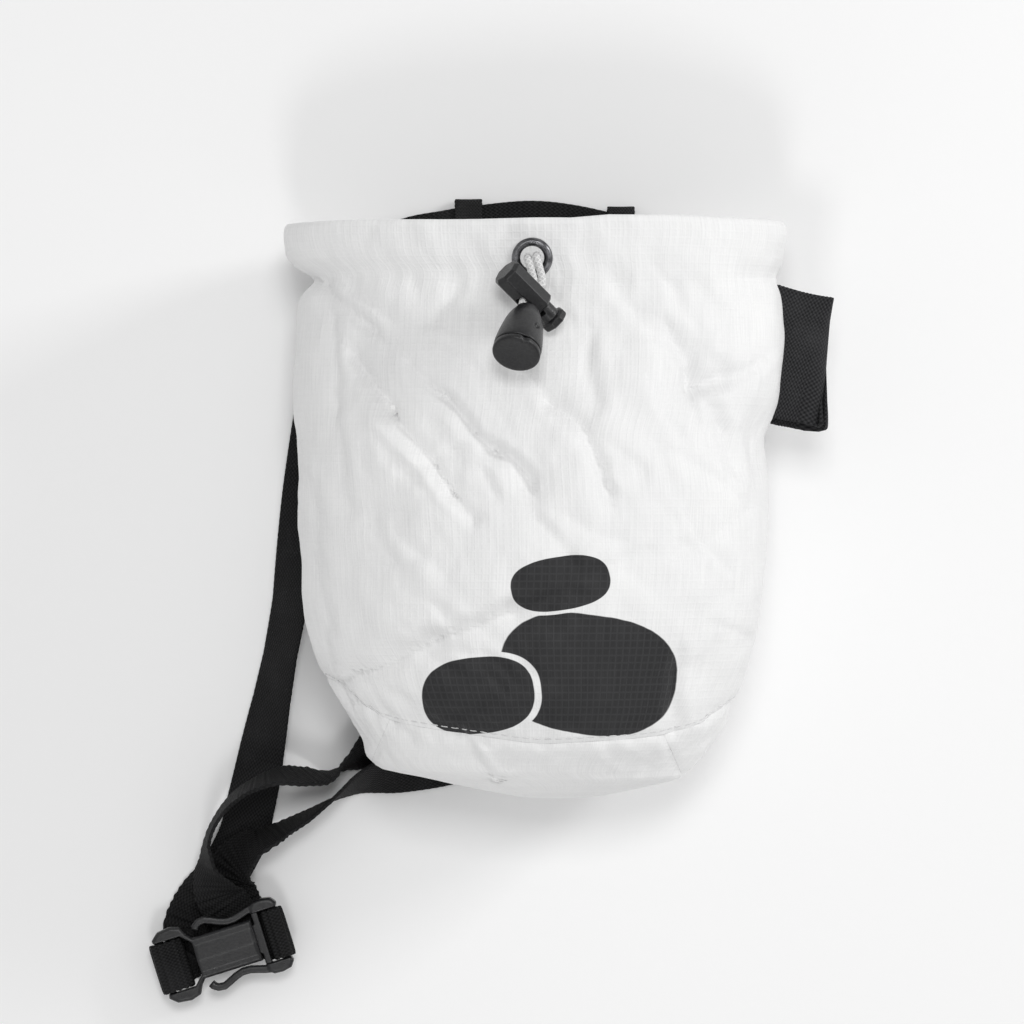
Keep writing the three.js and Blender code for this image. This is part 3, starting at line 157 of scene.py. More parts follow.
# Route of the belt's middle line in the bag's own place: x, y and z in millimetres, and the webbing's lean
# in degrees, or None where it goes round a bar of the buckle.
BELT_ROUTE = [
    (-106.153, -51.649, 7.06, None), (-106.439, -51.739, 9.56, None), (-107.679, -52.13, 10.61, None),
    (-109.873, -52.821, 10.76, None), (-112.066, -53.513, 10.76, None), (-113.482, -53.96, 10.145, None),
    (-114.069, -54.145, 8.66, None), (-113.482, -53.96, 7.175, None), (-112.066, -53.513, 6.56, None),
    (-109.617, -52.636, 5.06, None), (-107.157, -51.126, 1.284, None), (-105.409, -48.688, 0.784, None),
    (-104.881, -45.376, 1.084, None), (-105.82, -42.203, 0.784, 0), (-104.118, -37.403, 0.784, 0),
    (-101.38, -32.934, 0.784, 0), (-96.422, -27.308, 0.784, 0), (-91.982, -20.191, 0.784, 0),
    (-88.8, -13.075, 1.045, -2), (-87.172, -5.958, 1.564, -6), (-85.248, 2.367, 2.578, -14),
    (-82.88, 14.332, 4.223, -28), (-80.512, 26.314, 5.441, -40), (-77.922, 39.72, 6.047, -47),
    (-74.888, 56.27, 5.797, -44), (-72.15, 74.475, 4.001, -26), (-69.56, 92.68, 1.564, -6),
    (-67.34, 107.575, 0.784, 0), (-64.38, 125.78, 0.784, 0), (-58.46, 147.295, 0.784, 0),
    (-42.92, 161.859, 1.12, 0), (-28.12, 165.5, 1.89, 0), (-21.756, 166.493, 1.89, 0),
    (-3.33, 168.313, 1.89, 0), (8.88, 167.155, 1.89, 0), (23.902, 163.679, 1.89, 0),
    (31.08, 161.362, 1.89, 0), (38.48, 156.066, 1.12, 0), (45.14, 142.33, 0.784, 0),
    (48.47, 121.974, 0.784, 0), (47.73, 94.997, 0.784, 0), (43.29, 68.186, 0.784, 0),
    (32.93, 44.189, 0.784, 0), (15.54, 26.48, 0.784, 0), (-6.29, 14.895, 0.784, 0),
    (-27.232, 8.275, 0.784, 0), (-39.96, 5.627, 3.543, -22), (-48.1, 3.641, 6.126, -48),
    (-53.354, 1.82, 7.132, -64), (-58.164, -0.828, 7.566, -78), (-62.974, -3.806, 7.92, 90),
    (-69.93, -8.275, 8.348, 80), (-77.108, -12.082, 9.082, 74), (-83.694, -15.557, 10.688, 64),
    (-88.8, -19.529, 8.233, 44), (-92.204, -23.997, 5.349, 22), (-93.24, -28.466, 3.3, 6),
    (-91.908, -33.1, 2.59, 0), (-87.147, -42.091, 0.784, None), (-83.344, -43.513, 0.784, None),
    (-80.594, -43.59, 2.604, None), (-78.114, -42.808, 6.56, None), (-76.698, -42.361, 7.175, None),
    (-76.111, -42.176, 8.66, None), (-76.698, -42.361, 10.145, None), (-78.114, -42.808, 10.76, None),
    (-79.449, -43.229, 10.66, None), (-80.498, -43.56, 9.86, None), (-80.784, -43.65, 8.36, None),
    (-81.356, -43.83, 6.46, None), (-83.414, -43.955, 5.034, None), (-88.352, -42.261, 5.034, None),
    (-95.09, -33.927, 5.281, -4), (-97.68, -28.466, 8.809, -38), (-99.382, -22.343, 10.996, -70),
    (-99.382, -15.888, 11.367, -82), (-96.792, -9.268, 12.487, -84), (-92.278, -3.31, 14.122, -82),
    (-86.358, 0.993, 15.469, -80), (-79.772, 3.641, 15.933, -76), (-73.186, 4.138, 13.856, -70),
    (-66.6, 3.972, 10.429, -72), (-61.568, 5.13, 8.06, 90), (-56.61, 7.944, 7.433, 72),
    (-51.8, 11.254, 6.126, 48), (-46.62, 15.888, 2.824, 16), (-41.44, 23.17, 0.784, 0),
    (-35.52, 34.755, 0.784, 0),
]
LEFT_LOOP_AT = (-21.756, 166.493, 1.89)
RIGHT_LOOP_AT = (23.902, 163.679, 1.89)

# Routes of the draw cord's two strands, from inside the collar to inside the bell.
LEFT_STRAND = [
    (-4.17, 155.35, 65.8), (-4.19, 154.59, 71.75), (-4.21, 154.08, 75.72), (-2.59, 148.13, 79.56),
    (-3.01, 147.03, 81.34), (-4.36, 144.2, 84.13), (-5.71, 141.37, 86.92), (-5.83, 139.52, 87.99),
    (-6.43, 137.2, 90.07), (-7.59, 132.69, 94.11),
]
RIGHT_STRAND = [
    (-1.69, 155.91, 65.8), (-1.72, 155.15, 71.75), (-1.73, 154.64, 75.72), (-0.18, 147.5, 79.06),
    (-1.31, 145.36, 80.47), (-2.66, 142.53, 83.26), (-4.01, 139.7, 86.05), (-4.05, 138.08, 86.9),
    (-4.64, 135.76, 88.97), (-5.81, 131.25, 93.02),
]
EYELET_SEAT = (-2.96, 154.7425, 72.746)
EYELET_AXIS = (-0.00417, -0.12628, 0.99199)
BELL_TIP = (-4.3, 139.3, 87.5)
BELL_AXIS = (-0.18849, -0.73136, 0.65542)


def in_frame(point_mm):
    return np.asarray(point_mm, float) * MM + BAG_ORIGIN


# The camera looks straight down from 1.4 m, as in a flat-lay photograph.
camera_data = bpy.data.cameras.new("overhead_camera")
camera_data.lens = 164.06
camera_data.sensor_width = 36
camera = bpy.data.objects.new("overhead_camera", camera_data)
camera.location = (7.636 * MM, 26.232 * MM, 1.4)
bpy.context.scene.collection.objects.link(camera)
bpy.context.scene.camera = camera


# Node helpers for the materials


class Finish:
    """A material, with short calls for the nodes that draw its surface."""

    def __init__(self, name, colour, roughness, metallic=0.0):
        self.material = bpy.data.materials.new(name)
        self.material.use_nodes = True
        self.material.diffuse_color = (*colour, 1)
        self.tree = self.material.node_tree
        self.shader = self.tree.nodes["Principled BSDF"]
        self.shader.inputs["Base Color"].default_value = (*colour, 1)
        self.shader.inputs["Roughness"].default_value = roughness
        self.shader.inputs["Metallic"].default_value = metallic

    def add(self, kind, **inputs):
        made = self.tree.nodes.new(kind)
        for key, value in inputs.items():
            self.feed(made.inputs[key], value)
        return made

    def feed(self, socket, value):
        if isinstance(value, bpy.types.NodeSocket):
            self.tree.links.new(value, socket)
        else:
            socket.default_value = value

    def maths(self, operation, first, second=0.0, third=0.0):
        made = self.tree.nodes.new("ShaderNodeMath")
        made.operation = operation
        for socket, value in zip(made.inputs, (first, second, third)):
            self.feed(socket, value)
        return made.outputs[0]

    def plus(self, first, second):
        return self.maths("ADD", first, second)

    def minus(self, first, second):
        return self.maths("SUBTRACT", first, second)

    def times(self, first, second):
        return self.maths("MULTIPLY", first, second)

    def place(self, kind="Object"):
        return self.add("ShaderNodeTexCoord").outputs[kind]

    def stretched(self, vector, scale, turn=(0, 0, 0)):
        return self.add("ShaderNodeMapping", Vector=vector, Scale=scale, Rotation=turn).outputs[0]

    def noise(self, vector, scale, detail=3.0, roughness=0.55):
        made = self.add("ShaderNodeTexNoise", Vector=vector, Scale=scale, Detail=detail, Roughness=roughness)
        return made.outputs["Fac"]

    def ramp(self, value, low, high, to_low=0.0, to_high=1.0):
        made = self.add("ShaderNodeMapRange", Value=value)
        for key, limit in zip(("From Min", "From Max", "To Min", "To Max"), (low, high, to_low, to_high)):
            made.inputs[key].default_value = limit
        return made.outputs[0]

    def mix(self, factor, first, second):
        made = self.tree.nodes.new("ShaderNodeMix")
        made.data_type = "RGBA"
        self.feed(made.inputs["Factor"], factor)
        self.feed(made.inputs["A"], (*first, 1) if isinstance(first, tuple) else first)
        self.feed(made.inputs["B"], (*second, 1) if isinstance(second, tuple) else second)
        return made.outputs["Result"]

    def bump(self, height, distance, under=None):
        made = self.add("ShaderNodeBump", Height=height, Strength=1.0, Distance=distance)
        if under is not None:
            self.tree.links.new(under, made.inputs["Normal"])
        return made.outputs[0]

    def colour(self, socket):
        self.tree.links.new(socket, self.shader.inputs["Base Color"])

    def rough(self, socket):
        self.tree.links.new(socket, self.shader.inputs["Roughness"])

    def relief(self, socket):
        self.tree.links.new(socket, self.shader.inputs["Normal"])

    def set(self, **values):
        for key, value in values.items():
            self.shader.inputs[key.replace("_", " ")].default_value = value


def ribs(finish, value, pitch, phase=0.0):
    """Waves from 0 to 1 along a coordinate, one for each pitch."""
    turns = finish.maths("MULTIPLY_ADD", value, 2 * math.pi / pitch, phase)
    return finish.maths("MULTIPLY_ADD", finish.maths("SINE", turns), 0.5, 0.5)


def thread_lines(finish, value, pitch, share):
    """Narrow raised lines, one for each pitch."""
    near = finish.maths("PINGPONG", value, pitch / 2)
    return finish.ramp(near, share * pitch, 0.4 * share * pitch)


# Middle, radii and turn of each pebble of the print, from the bag's own place.
PEBBLES = [
    ((12.9, 36.6), (25.5, 17.2), -8),
    ((-18.2, 30.6), (16.0, 11.0), 6),
    ((5.0, 62.4), (14.2, 7.6), 9),
]


def ripstop_cloth(name, with_print):
    """Off-white ripstop with uneven threads, and a print of stacked pebbles where it is asked for."""
    white = Finish(name, (0.80, 0.80, 0.795), 0.6)
    uv = white.place("UV")
    parts = white.add("ShaderNodeSeparateXYZ", Vector=uv)
    across, along = parts.outputs["X"], parts.outputs["Y"]
    slubs = white.noise(white.stretched(uv, (2600, 70, 1)), 1.0, 2.0)
    wefts = white.noise(white.stretched(uv, (90, 2400, 1)), 1.0, 2.0)
    grid = white.maths("MAXIMUM", *(thread_lines(white, way, RIPSTOP_PITCH, 0.16) for way in (across, along)))
    clouds = white.noise(white.place(), 26.0, 4.0)
    dust = white.noise(white.place(), 190.0, 3.0)
    plain = white.mix(white.ramp(clouds, 0.3, 0.7), (0.83, 0.83, 0.83), (0.88, 0.88, 0.876))
    plain = white.mix(white.ramp(slubs, 0.35, 0.75, 0.0, 0.3), plain, (0.62, 0.62, 0.625))
    plain = white.mix(white.ramp(wefts, 0.5, 0.8, 0.0, 0.1), plain, (0.66, 0.66, 0.66))
    plain = white.mix(white.times(grid, 0.07), plain, (0.95, 0.95, 0.95))
    base = plain
    if with_print:
        spot = white.add("ShaderNodeSeparateXYZ", Vector=white.place())
        edge = white.maths("MULTIPLY_ADD", white.noise(white.place(), 75.0, 3.0), 0.16, -0.08)
        printed = None
        for (x, y), (long, short), turn in PEBBLES:
            middle = in_frame((x, y, 0))
            cos, sin = math.cos(math.radians(turn)), math.sin(math.radians(turn))
            dx = white.minus(spot.outputs["X"], float(middle[0]))
            dy = white.minus(spot.outputs["Y"], float(middle[1]))
            u = white.plus(white.times(dx, cos), white.times(dy, sin))
            v = white.minus(white.times(dy, cos), white.times(dx, sin))
            far_u, far_v = (
                white.maths("POWER", white.maths("ABSOLUTE", white.maths("DIVIDE", out, radius * MM)), 2.5)
                for out, radius in ((u, long), (v, short))
            )
            far = white.plus(white.plus(far_u, far_v), edge)
            pebble = white.ramp(far, 1.0, 0.965)
            if printed is None:
                printed = pebble
            else:
                beyond = white.minus(1.0, white.ramp(far, 1.34, 1.3))
                printed = white.maths("MAXIMUM", white.times(printed, beyond), pebble)
        front = white.ramp(spot.outputs["Z"], 46 * MM, 47 * MM)
        printed = white.times(printed, front)
        ink = white.mix(white.ramp(clouds, 0.3, 0.7), (0.010, 0.010, 0.011), (0.018, 0.018, 0.019))
        ink = white.mix(white.times(grid, 0.3), ink, (0.05, 0.05, 0.053))
        ink = white.mix(white.ramp(slubs, 0.4, 0.8, 0.0, 0.35), ink, (0.04, 0.04, 0.042))
        base = white.mix(printed, plain, ink)
    white.colour(base)
    white.rough(white.ramp(dust, 0.3, 0.7, 0.56, 0.7))
    threads = white.plus(white.times(slubs, 0.6), white.times(wefts, 0.4))
    height = white.plus(threads, white.times(grid, 0.55))
    soft = white.bump(white.noise(white.place(), 240.0, 3.0), 0.22 * MM)
    white.relief(white.bump(height, 0.07 * MM, soft))
    white.set(Sheen_Weight=0.18, Sheen_Roughness=0.45, Specular_IOR_Level=0.35)
    return white.material


def fleece_lining():
    pile = Finish("fleece_lining", (0.62, 0.62, 0.61), 0.95)
    fluff = pile.noise(pile.place(), 900.0, 5.0, 0.7)
    tufts = pile.noise(pile.place(), 260.0, 3.0)
    pile.colour(pile.mix(pile.ramp(tufts, 0.35, 0.65), (0.5, 0.5, 0.49), (0.7, 0.7, 0.69)))
    pile.rough(pile.ramp(fluff, 0.3, 0.7, 0.85, 1.0))
    pile.relief(pile.bump(fluff, 0.5 * MM, pile.bump(tufts, 0.8 * MM)))
    pile.set(Sheen_Weight=0.6, Sheen_Roughness=0.6, Specular_IOR_Level=0.2)
    return pile.material


def woven(name, dark, light, rib_pitch, thread_pitch, depth, roughness):
    """Black woven band. Its UV runs along it in U and across it in V, in metres."""
    band = Finish(name, dark, roughness)
    uv = band.place("UV")
    parts = band.add("ShaderNodeSeparateXYZ", Vector=uv)
    cross = ribs(band, parts.outputs["X"], rib_pitch)
    threads = ribs(band, parts.outputs["Y"], thread_pitch)
    other = ribs(band, parts.outputs["Y"], thread_pitch, math.pi)
    between = band.minus(1.0, cross)
    weave = band.plus(band.times(cross, threads), band.times(between, other))
    fuzz = band.noise(band.place(), 1500.0, 4.0, 0.7)
    worn = band.noise(band.place(), 60.0, 4.0)
    # The weave is painted into the colour. Raised threads are painted lighter as a painted highlight and the threads
    # between them darker as painted shade, mixed with random fuzz; the worn patches are lighter wear. dark is the
    # colour of the painted shade and light that of the painted highlight.
    painted_light_and_fuzz = band.plus(band.times(weave, 0.55), band.times(fuzz, 0.45))
    thread_tone_with_painted_light = band.mix(band.ramp(painted_light_and_fuzz, 0.3, 0.85), dark, light)
    thread_tone_with_painted_light = band.mix(band.ramp(worn, 0.5, 0.8, 0.0, 0.35), thread_tone_with_painted_light, tuple(1.6 * c for c in light))
    band.colour(thread_tone_with_painted_light)
    band.rough(band.ramp(fuzz, 0.3, 0.7, roughness - 0.08, roughness + 0.1))
    ribbed = band.plus(band.times(cross, 0.5), band.times(fuzz, 0.35))
    height = band.plus(band.times(weave, 0.7), ribbed)
    band.relief(band.bump(height, depth))
    band.set(Sheen_Weight=0.01, Sheen_Roughness=0.4, Specular_IOR_Level=0.15)
    return band.material


def moulded_plastic():
    """Black acetal with a fine spark-eroded grain."""
    black = Finish("moulded_plastic", (0.008, 0.008, 0.009), 0.34)
    grain = black.noise(black.place(), 3600.0, 3.0, 0.6)
    pits = black.noise(black.place(), 1300.0, 4.0)
    scuffs = black.noise(black.stretched(black.place(), (300, 1500, 600), (0.3, 0.5, 0.8)), 1.0, 4.0)
    black.colour(black.mix(black.ramp(pits, 0.35, 0.75), (0.005, 0.005, 0.006), (0.016, 0.016, 0.017)))
    black.rough(black.ramp(black.plus(grain, black.times(scuffs, 0.5)), 0.5, 1.0, 0.25, 0.45))
    black.relief(black.bump(grain, 0.05 * MM, black.bump(pits, 0.04 * MM)))
    black.set(Specular_IOR_Level=0.5)
    return black.material


def gunmetal():
    """Plated eyelet with fine turning marks and brighter worn patches laid at random."""
    metal = Finish("gunmetal", (0.13, 0.13, 0.135), 0.3, 1.0)
    marks = metal.noise(metal.stretched(metal.place(), (700, 700, 5200)), 1.0, 3.0)
    worn = metal.noise(metal.place(), 420.0, 4.0)
    metal.colour(metal.mix(metal.ramp(worn, 0.42, 0.7), (0.10, 0.10, 0.105), (0.27, 0.27, 0.28)))
    metal.rough(metal.ramp(marks, 0.3, 0.7, 0.22, 0.42))
    metal.relief(metal.bump(marks, 0.02 * MM))
    return metal.material


def braided_cord():
    """White round braid. Its UV runs along it in U, in metres, and once round it in V."""
    braid = Finish("braided_cord", (0.78, 0.78, 0.77), 0.7)
    parts = braid.add("ShaderNodeSeparateXYZ", Vector=braid.place("UV"))
    along = braid.times(parts.outputs["X"], 2 * math.pi / BRAID_PITCH)
    round_it = braid.times(parts.outputs["Y"], 2 * math.pi * 4)
    one_way = braid.maths("SINE", braid.plus(along, round_it))
    other_way = braid.maths("SINE", braid.minus(along, round_it))
    strands = braid.ramp(braid.maths("MAXIMUM", one_way, other_way), -0.3, 1.0)
    fuzz = braid.noise(braid.place(), 2600.0, 3.0)
    # The grooves between the strands are painted darker than their crests: painted shade between the strands.
    braid.colour(braid.mix(strands, (0.66, 0.66, 0.66), (0.87, 0.87, 0.865)))
    braid.rough(braid.ramp(fuzz, 0.3, 0.7, 0.6, 0.85))
    braid.relief(braid.bump(braid.plus(strands, braid.times(fuzz, 0.3)), 0.22 * MM))
    braid.set(Sheen_Weight=0.25, Sheen_Roughness=0.5)
    return braid.material


def sewing_thread():
    """Pale grey twisted thread."""
    thread = Finish("sewing_thread", (0.5, 0.5, 0.5), 0.6)
    twist = thread.noise(thread.place(), 2400.0, 2.0)
    thread.colour(thread.mix(twist, (0.55, 0.55, 0.55), (0.8, 0.8, 0.8)))
    thread.relief(thread.bump(twist, 0.1 * MM))
    return thread.material


def pale_floor():
    floor = Finish("pale_floor", (0.93, 0.93, 0.93), 0.85)
    mottle = floor.noise(floor.place(), 3.0, 2.0)
    floor.colour(floor.mix(mottle, (0.925, 0.925, 0.925), (0.935, 0.935, 0.935)))
    floor.set(Specular_IOR_Level=0.1)
    return floor.material


CLOTH_PRINTED = ripstop_cloth("ripstop_printed", True)
CLOTH_PLAIN = ripstop_cloth("ripstop_plain", False)
LINING = fleece_lining()
# Each woven finish gets a dark colour for the painted shade between its threads and a lighter one for the painted
# highlight on its raised threads.
BELT_WEAVE = woven("belt_webbing", (0.003, 0.003, 0.003), (0.022, 0.022, 0.023), 1.4 * MM, 1.05 * MM, 0.22 * MM, 0.72)
TAPE_WEAVE = woven("loop_tape", (0.006, 0.006, 0.006), (0.04, 0.04, 0.041), TAPE_RIB_PITCH, 0.9 * MM, 0.2 * MM, 0.8)
KNIT = woven("loop_elastic", (0.010, 0.010, 0.011), (0.05, 0.05, 0.052), KNIT_PITCH, 1.35 * MM, 0.3 * MM, 0.82)
PLASTIC = moulded_plastic()
METAL = gunmetal()
BRAID = braided_cord()
THREAD = sewing_thread()


# Mesh helpers


def in_scene(name, data):
    made = bpy.data.objects.new(name, data)
    bpy.context.scene.collection.objects.link(made)
    return made


def mesh_from(name, bm):
    mesh = bpy.data.meshes.new(name)
    bm.to_mesh(mesh)
    bm.free()
    return mesh


def finished(name, bm, materials, body="chalk_bag", slot=None, replaces=()):
    """A smooth-shaded piece that rides on a body and stands in for its CAD nodes."""
    mesh = mesh_from(name, bm)
    for face in mesh.polygons:
        face.use_smooth = True
    piece = in_scene(name, mesh)
    for material in materials:
        mesh.materials.append(material)
    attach(piece, body)
    if replaces:
        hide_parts(*replaces)
    return piece


def grid_shares(bm, columns, rows):
    """A grid of columns by rows, and each point's share of the way across it and along it."""
    bmesh.ops.create_grid(bm, x_segments=columns, y_segments=rows, size=0.5)
    shares = np.array([v.co[:2] for v in bm.verts]) + 0.5
    return shares[:, 0], shares[:, 1]


def move_points(bm, points):
    for vert, point in zip(bm.verts, points):
        vert.co = point


def lay_uv(bm, u, v):
    layer = bm.loops.layers.uv.new("UVMap")
    bm.verts.index_update()
    for face in bm.faces:
        for corner in face.loops:
            i = corner.vert.index
            corner[layer].uv = (u[i], v[i])


def lengths_along(line):
    """Length from the start of a line to each of its points."""
    return np.concatenate([[0], np.cumsum(np.linalg.norm(np.diff(line, axis=0), axis=1))])


def rounded(wave, power):
    """A sine or cosine made squarer, as on a superellipse of that power."""
    return np.sign(wave) * np.abs(wave) ** (2 / power)


def hermite(w, start, leaving, end, arriving):
    return (
        (2 * w**3 - 3 * w**2 + 1) * start
        + (w**3 - 2 * w**2 + w) * leaving
        + (3 * w**2 - 2 * w**3) * end
        + (w**3 - w**2) * arriving
    )


def merge_and_turn_outwards(bm):
    bmesh.ops.remove_doubles(bm, verts=bm.verts, dist=1e-6)
    bmesh.ops.recalc_face_normals(bm, faces=bm.faces)


def close_up(bm, open_ends=True):
    """Merges doubles, closes open ends and turns every face outwards."""
    bmesh.ops.remove_doubles(bm, verts=bm.verts, dist=1e-7)
    if open_ends:
        bmesh.ops.holes_fill(bm, edges=[e for e in bm.edges if e.is_boundary], sides=0)
    bmesh.ops.recalc_face_normals(bm, faces=bm.faces)


def centripetal(points):
    """Sampler of a smooth line through the points: place at t, with t from 0 to 1."""
    points = np.asarray(points, float)
    ends = np.vstack([2 * points[0] - points[1], points, 2 * points[-1] - points[-2]])

    def at(t):
        t = np.atleast_1d(t)
        spans = len(points) - 1
        place = np.clip(t * spans, 0, spans)
        i = np.minimum(place.astype(int), spans - 1)
        w = place - i
        p0, p1, p2, p3 = ends[i], ends[i + 1], ends[i + 2], ends[i + 3]
        d0 = np.sqrt(np.linalg.norm(p1 - p0, axis=1))[:, None]
        d1 = np.sqrt(np.linalg.norm(p2 - p1, axis=1))[:, None]
        d2 = np.sqrt(np.linalg.norm(p3 - p2, axis=1))[:, None]
        m1 = ((p1 - p0) / d0 - (p2 - p0) / (d0 + d1) + (p2 - p1) / d1) * d1
        m2 = ((p2 - p1) / d1 - (p3 - p1) / (d1 + d2) + (p3 - p2) / d2) * d1
        return hermite(w[:, None], p1, m1, p2, m2)

    return at


def unit(rows):
    return rows / np.linalg.norm(rows, axis=1)[:, None]


def band(
    name, line, across, half_width, half_thickness, material, squareness=5.0, closed=False, waves=None, shape=None,
    **facts,
):
    """A woven band along a line. across points along its width at each place of the line."""
    count = len(line)
    around = 28
    rows = count if closed else count - 1
    bm = bmesh.new()
    u_share, v_share = grid_shares(bm, around, rows)
    angle = u_share * 2 * math.pi
    row = np.rint(v_share * rows).astype(int)
    here = row % count
    if closed:
        run = unit(np.roll(line, -1, axis=0) - np.roll(line, 1, axis=0))
    else:
        run = unit(np.gradient(line, axis=0))
    across = unit(across - run * np.sum(across * run, axis=1)[:, None])
    facing = np.cross(run, across)
    side = rounded(np.cos(angle), squareness)
    high = rounded(np.sin(angle), squareness)
    length = lengths_along(line)
    closing = np.linalg.norm(line[0] - line[-1])
    along = np.where(row == count, length[-1] + closing, length[here])
    width, thick = half_width, half_thickness
    if waves is not None:
        wide_wave, thick_wave = waves(along, side)
        width = width + wide_wave
        thick = thick + thick_wave
    points = line[here] + across[here] * (side * width)[:, None] + facing[here] * (high * thick)[:, None]
    if shape is not None:
        points = shape(points)
    move_points(bm, points)
    lay_uv(bm, along, side * half_width)
    close_up(bm, open_ends=not closed)
    finished(name, bm, [material], **facts)


# The cloth of the bag


def section_at(along):
    """Left, right, front and back of the section, as smooth lines through the table's rows."""
    spans = SECTIONS[:, 0]
    i = np.clip(np.searchsorted(spans, along, side="right") - 1, 0, len(spans) - 2)
    before = np.maximum(i - 1, 0)
    after = np.minimum(i + 2, len(spans) - 1)
    span = spans[i + 1] - spans[i]
    t = np.clip((along - spans[i]) / span, 0, 1)[:, None]
    rows = SECTIONS[:, 1:]
    slope_in = (rows[i + 1] - rows[before]) / (spans[i + 1] - spans[before])[:, None]
    slope_out = (rows[after] - rows[i]) / (spans[after] - spans[i])[:, None]
    span = span[:, None]
    return hermite(t, rows[i], span * slope_in, rows[i + 1], span * slope_out)


def smooth_noise(seed, points, size):
    """Repeatable smooth noise from -1 to 1, made of crossed waves of about the given size."""
    chance = np.random.default_rng(seed)
    total = np.zeros(len(points))
    for _ in range(14):
        direction = chance.normal(size=points.shape[1])
        direction *= chance.uniform(0.6, 1.5) * 2 * math.pi / (size * np.linalg.norm(direction))
        total += np.sin(points @ direction + chance.uniform(0, 2 * math.pi))
    return total / 5.3


def from_stretch(x, y, start, end):
    """Signed distance from a straight stretch, negative to its left."""
    first = np.array([start[0] * BAG_HALF_WIDTH, start[1] * BAG_LENGTH])
    run = np.array([end[0] * BAG_HALF_WIDTH, end[1] * BAG_LENGTH]) - first
    t = np.clip(((x - first[0]) * run[0] + (y - first[1]) * run[1]) / (run @ run), 0, 1)
    away = np.hypot(x - first[0] - t * run[0], y - first[1] - t * run[1])
    side = np.sign((y - first[1]) * run[0] - (x - first[0]) * run[1])
    return away, side * away


def fold_depth(x, y):
    plan = np.stack([x, y], axis=1)
    wander = 1.3 * MM
    x = x + wander * smooth_noise(3, plan, 26 * MM)
    y = y + wander * smooth_noise(4, plan, 26 * MM)
    depth = np.zeros(len(x))
    for x1, y1, x2, y2, width, deep in SWELLS:
        away, _ = from_stretch(x, y, (x1, y1), (x2, y2))
        depth += deep * MM * np.exp(-((away / (width * MM)) ** 2))
    for x1, y1, x2, y2, width, deep, lip in CREASES:
        away, signed = from_stretch(x, y, (x1, y1), (x2, y2))
        wide = width * MM
        depth += 0.8 * deep * MM * np.exp(-away / wide)
        depth += 0.4 * deep * MM * np.exp(-((away / (2.8 * wide)) ** 2))
        if lip:
            near = np.exp(-((away / (3.4 * wide)) ** 2))
            depth -= 0.62 * deep * MM * near * np.exp(-(((signed - lip * 2.3 * wide) / (1.5 * wide)) ** 2))
    return depth


def crumples():
    """Small crumples of the cloth, laid out by chance, each lying roughly along the big folds."""
    chance = np.random.default_rng(11)
    rows = []
    for _ in range(95):
        x = chance.uniform(-0.8, 0.8)
        y = chance.uniform(0.13, 0.87)
        lean = chance.normal(-0.75, 0.65)
        reach = chance.uniform(4, 13) * MM
        dx = reach * math.cos(lean) / BAG_HALF_WIDTH
        dy = reach * math.sin(lean) / BAG_LENGTH
        width = chance.uniform(0.8, 1.7)
        depth = chance.uniform(0.2, 0.75)
        rows.append((x - dx, y - dy, x + dx, y + dy, width, depth, chance.choice([-1, 1])))
    return rows


CREASES += crumples()


def seam_height(seam, x):
    """Height of a seam in the plan, with its corners eased."""
    near = (-0.07, -0.035, 0.0, 0.035, 0.07)
    heights = [np.interp(x / BAG_HALF_WIDTH + d, seam[:, 0], seam[:, 1]) for d in near]
    return sum(heights) / len(near) * BAG_LENGTH


def section_point(along, turn):
    """A point of the skin before its folds, with the direction that it faces, both in the bag's own place."""
    s = section_at(along)
    middle = (s[:, 0] + s[:, 1]) / 2 * BAG_HALF_WIDTH
    half_width = (s[:, 1] - s[:, 0]) / 2 * BAG_HALF_WIDTH
    height = (s[:, 2] + s[:, 3]) / 2 * BAG_DEPTH
    half_depth = (s[:, 2] - s[:, 3]) / 2 * BAG_DEPTH
    power = np.where(np.sin(turn) > 0, FRONT_POWER, BACK_POWER)
    x = half_width * rounded(np.cos(turn), power)
    z = half_depth * rounded(np.sin(turn), power)
    facing = unit(np.stack([x / half_width**2, np.zeros(len(x)), z / half_depth**2], axis=1))
    return np.stack([x + middle, along * BAG_LENGTH, z + height], axis=1), facing


def turns_of_equal_length():
    """Turns round the section, from the middle of the back, so that equal shares have equal lengths."""
    turn = np.linspace(-math.pi / 2, 1.5 * math.pi, 20001)
    ring, _ = section_point(np.full(len(turn), 0.5), turn)
    length = lengths_along(ring)
    return lambda share: np.interp(share * length[-1], length, turn)


turn_at = turns_of_equal_length()
CLOTH_STEP = 1.3 * MM
ROUND_STEPS = int(SKIN_GIRTH / CLOTH_STEP)


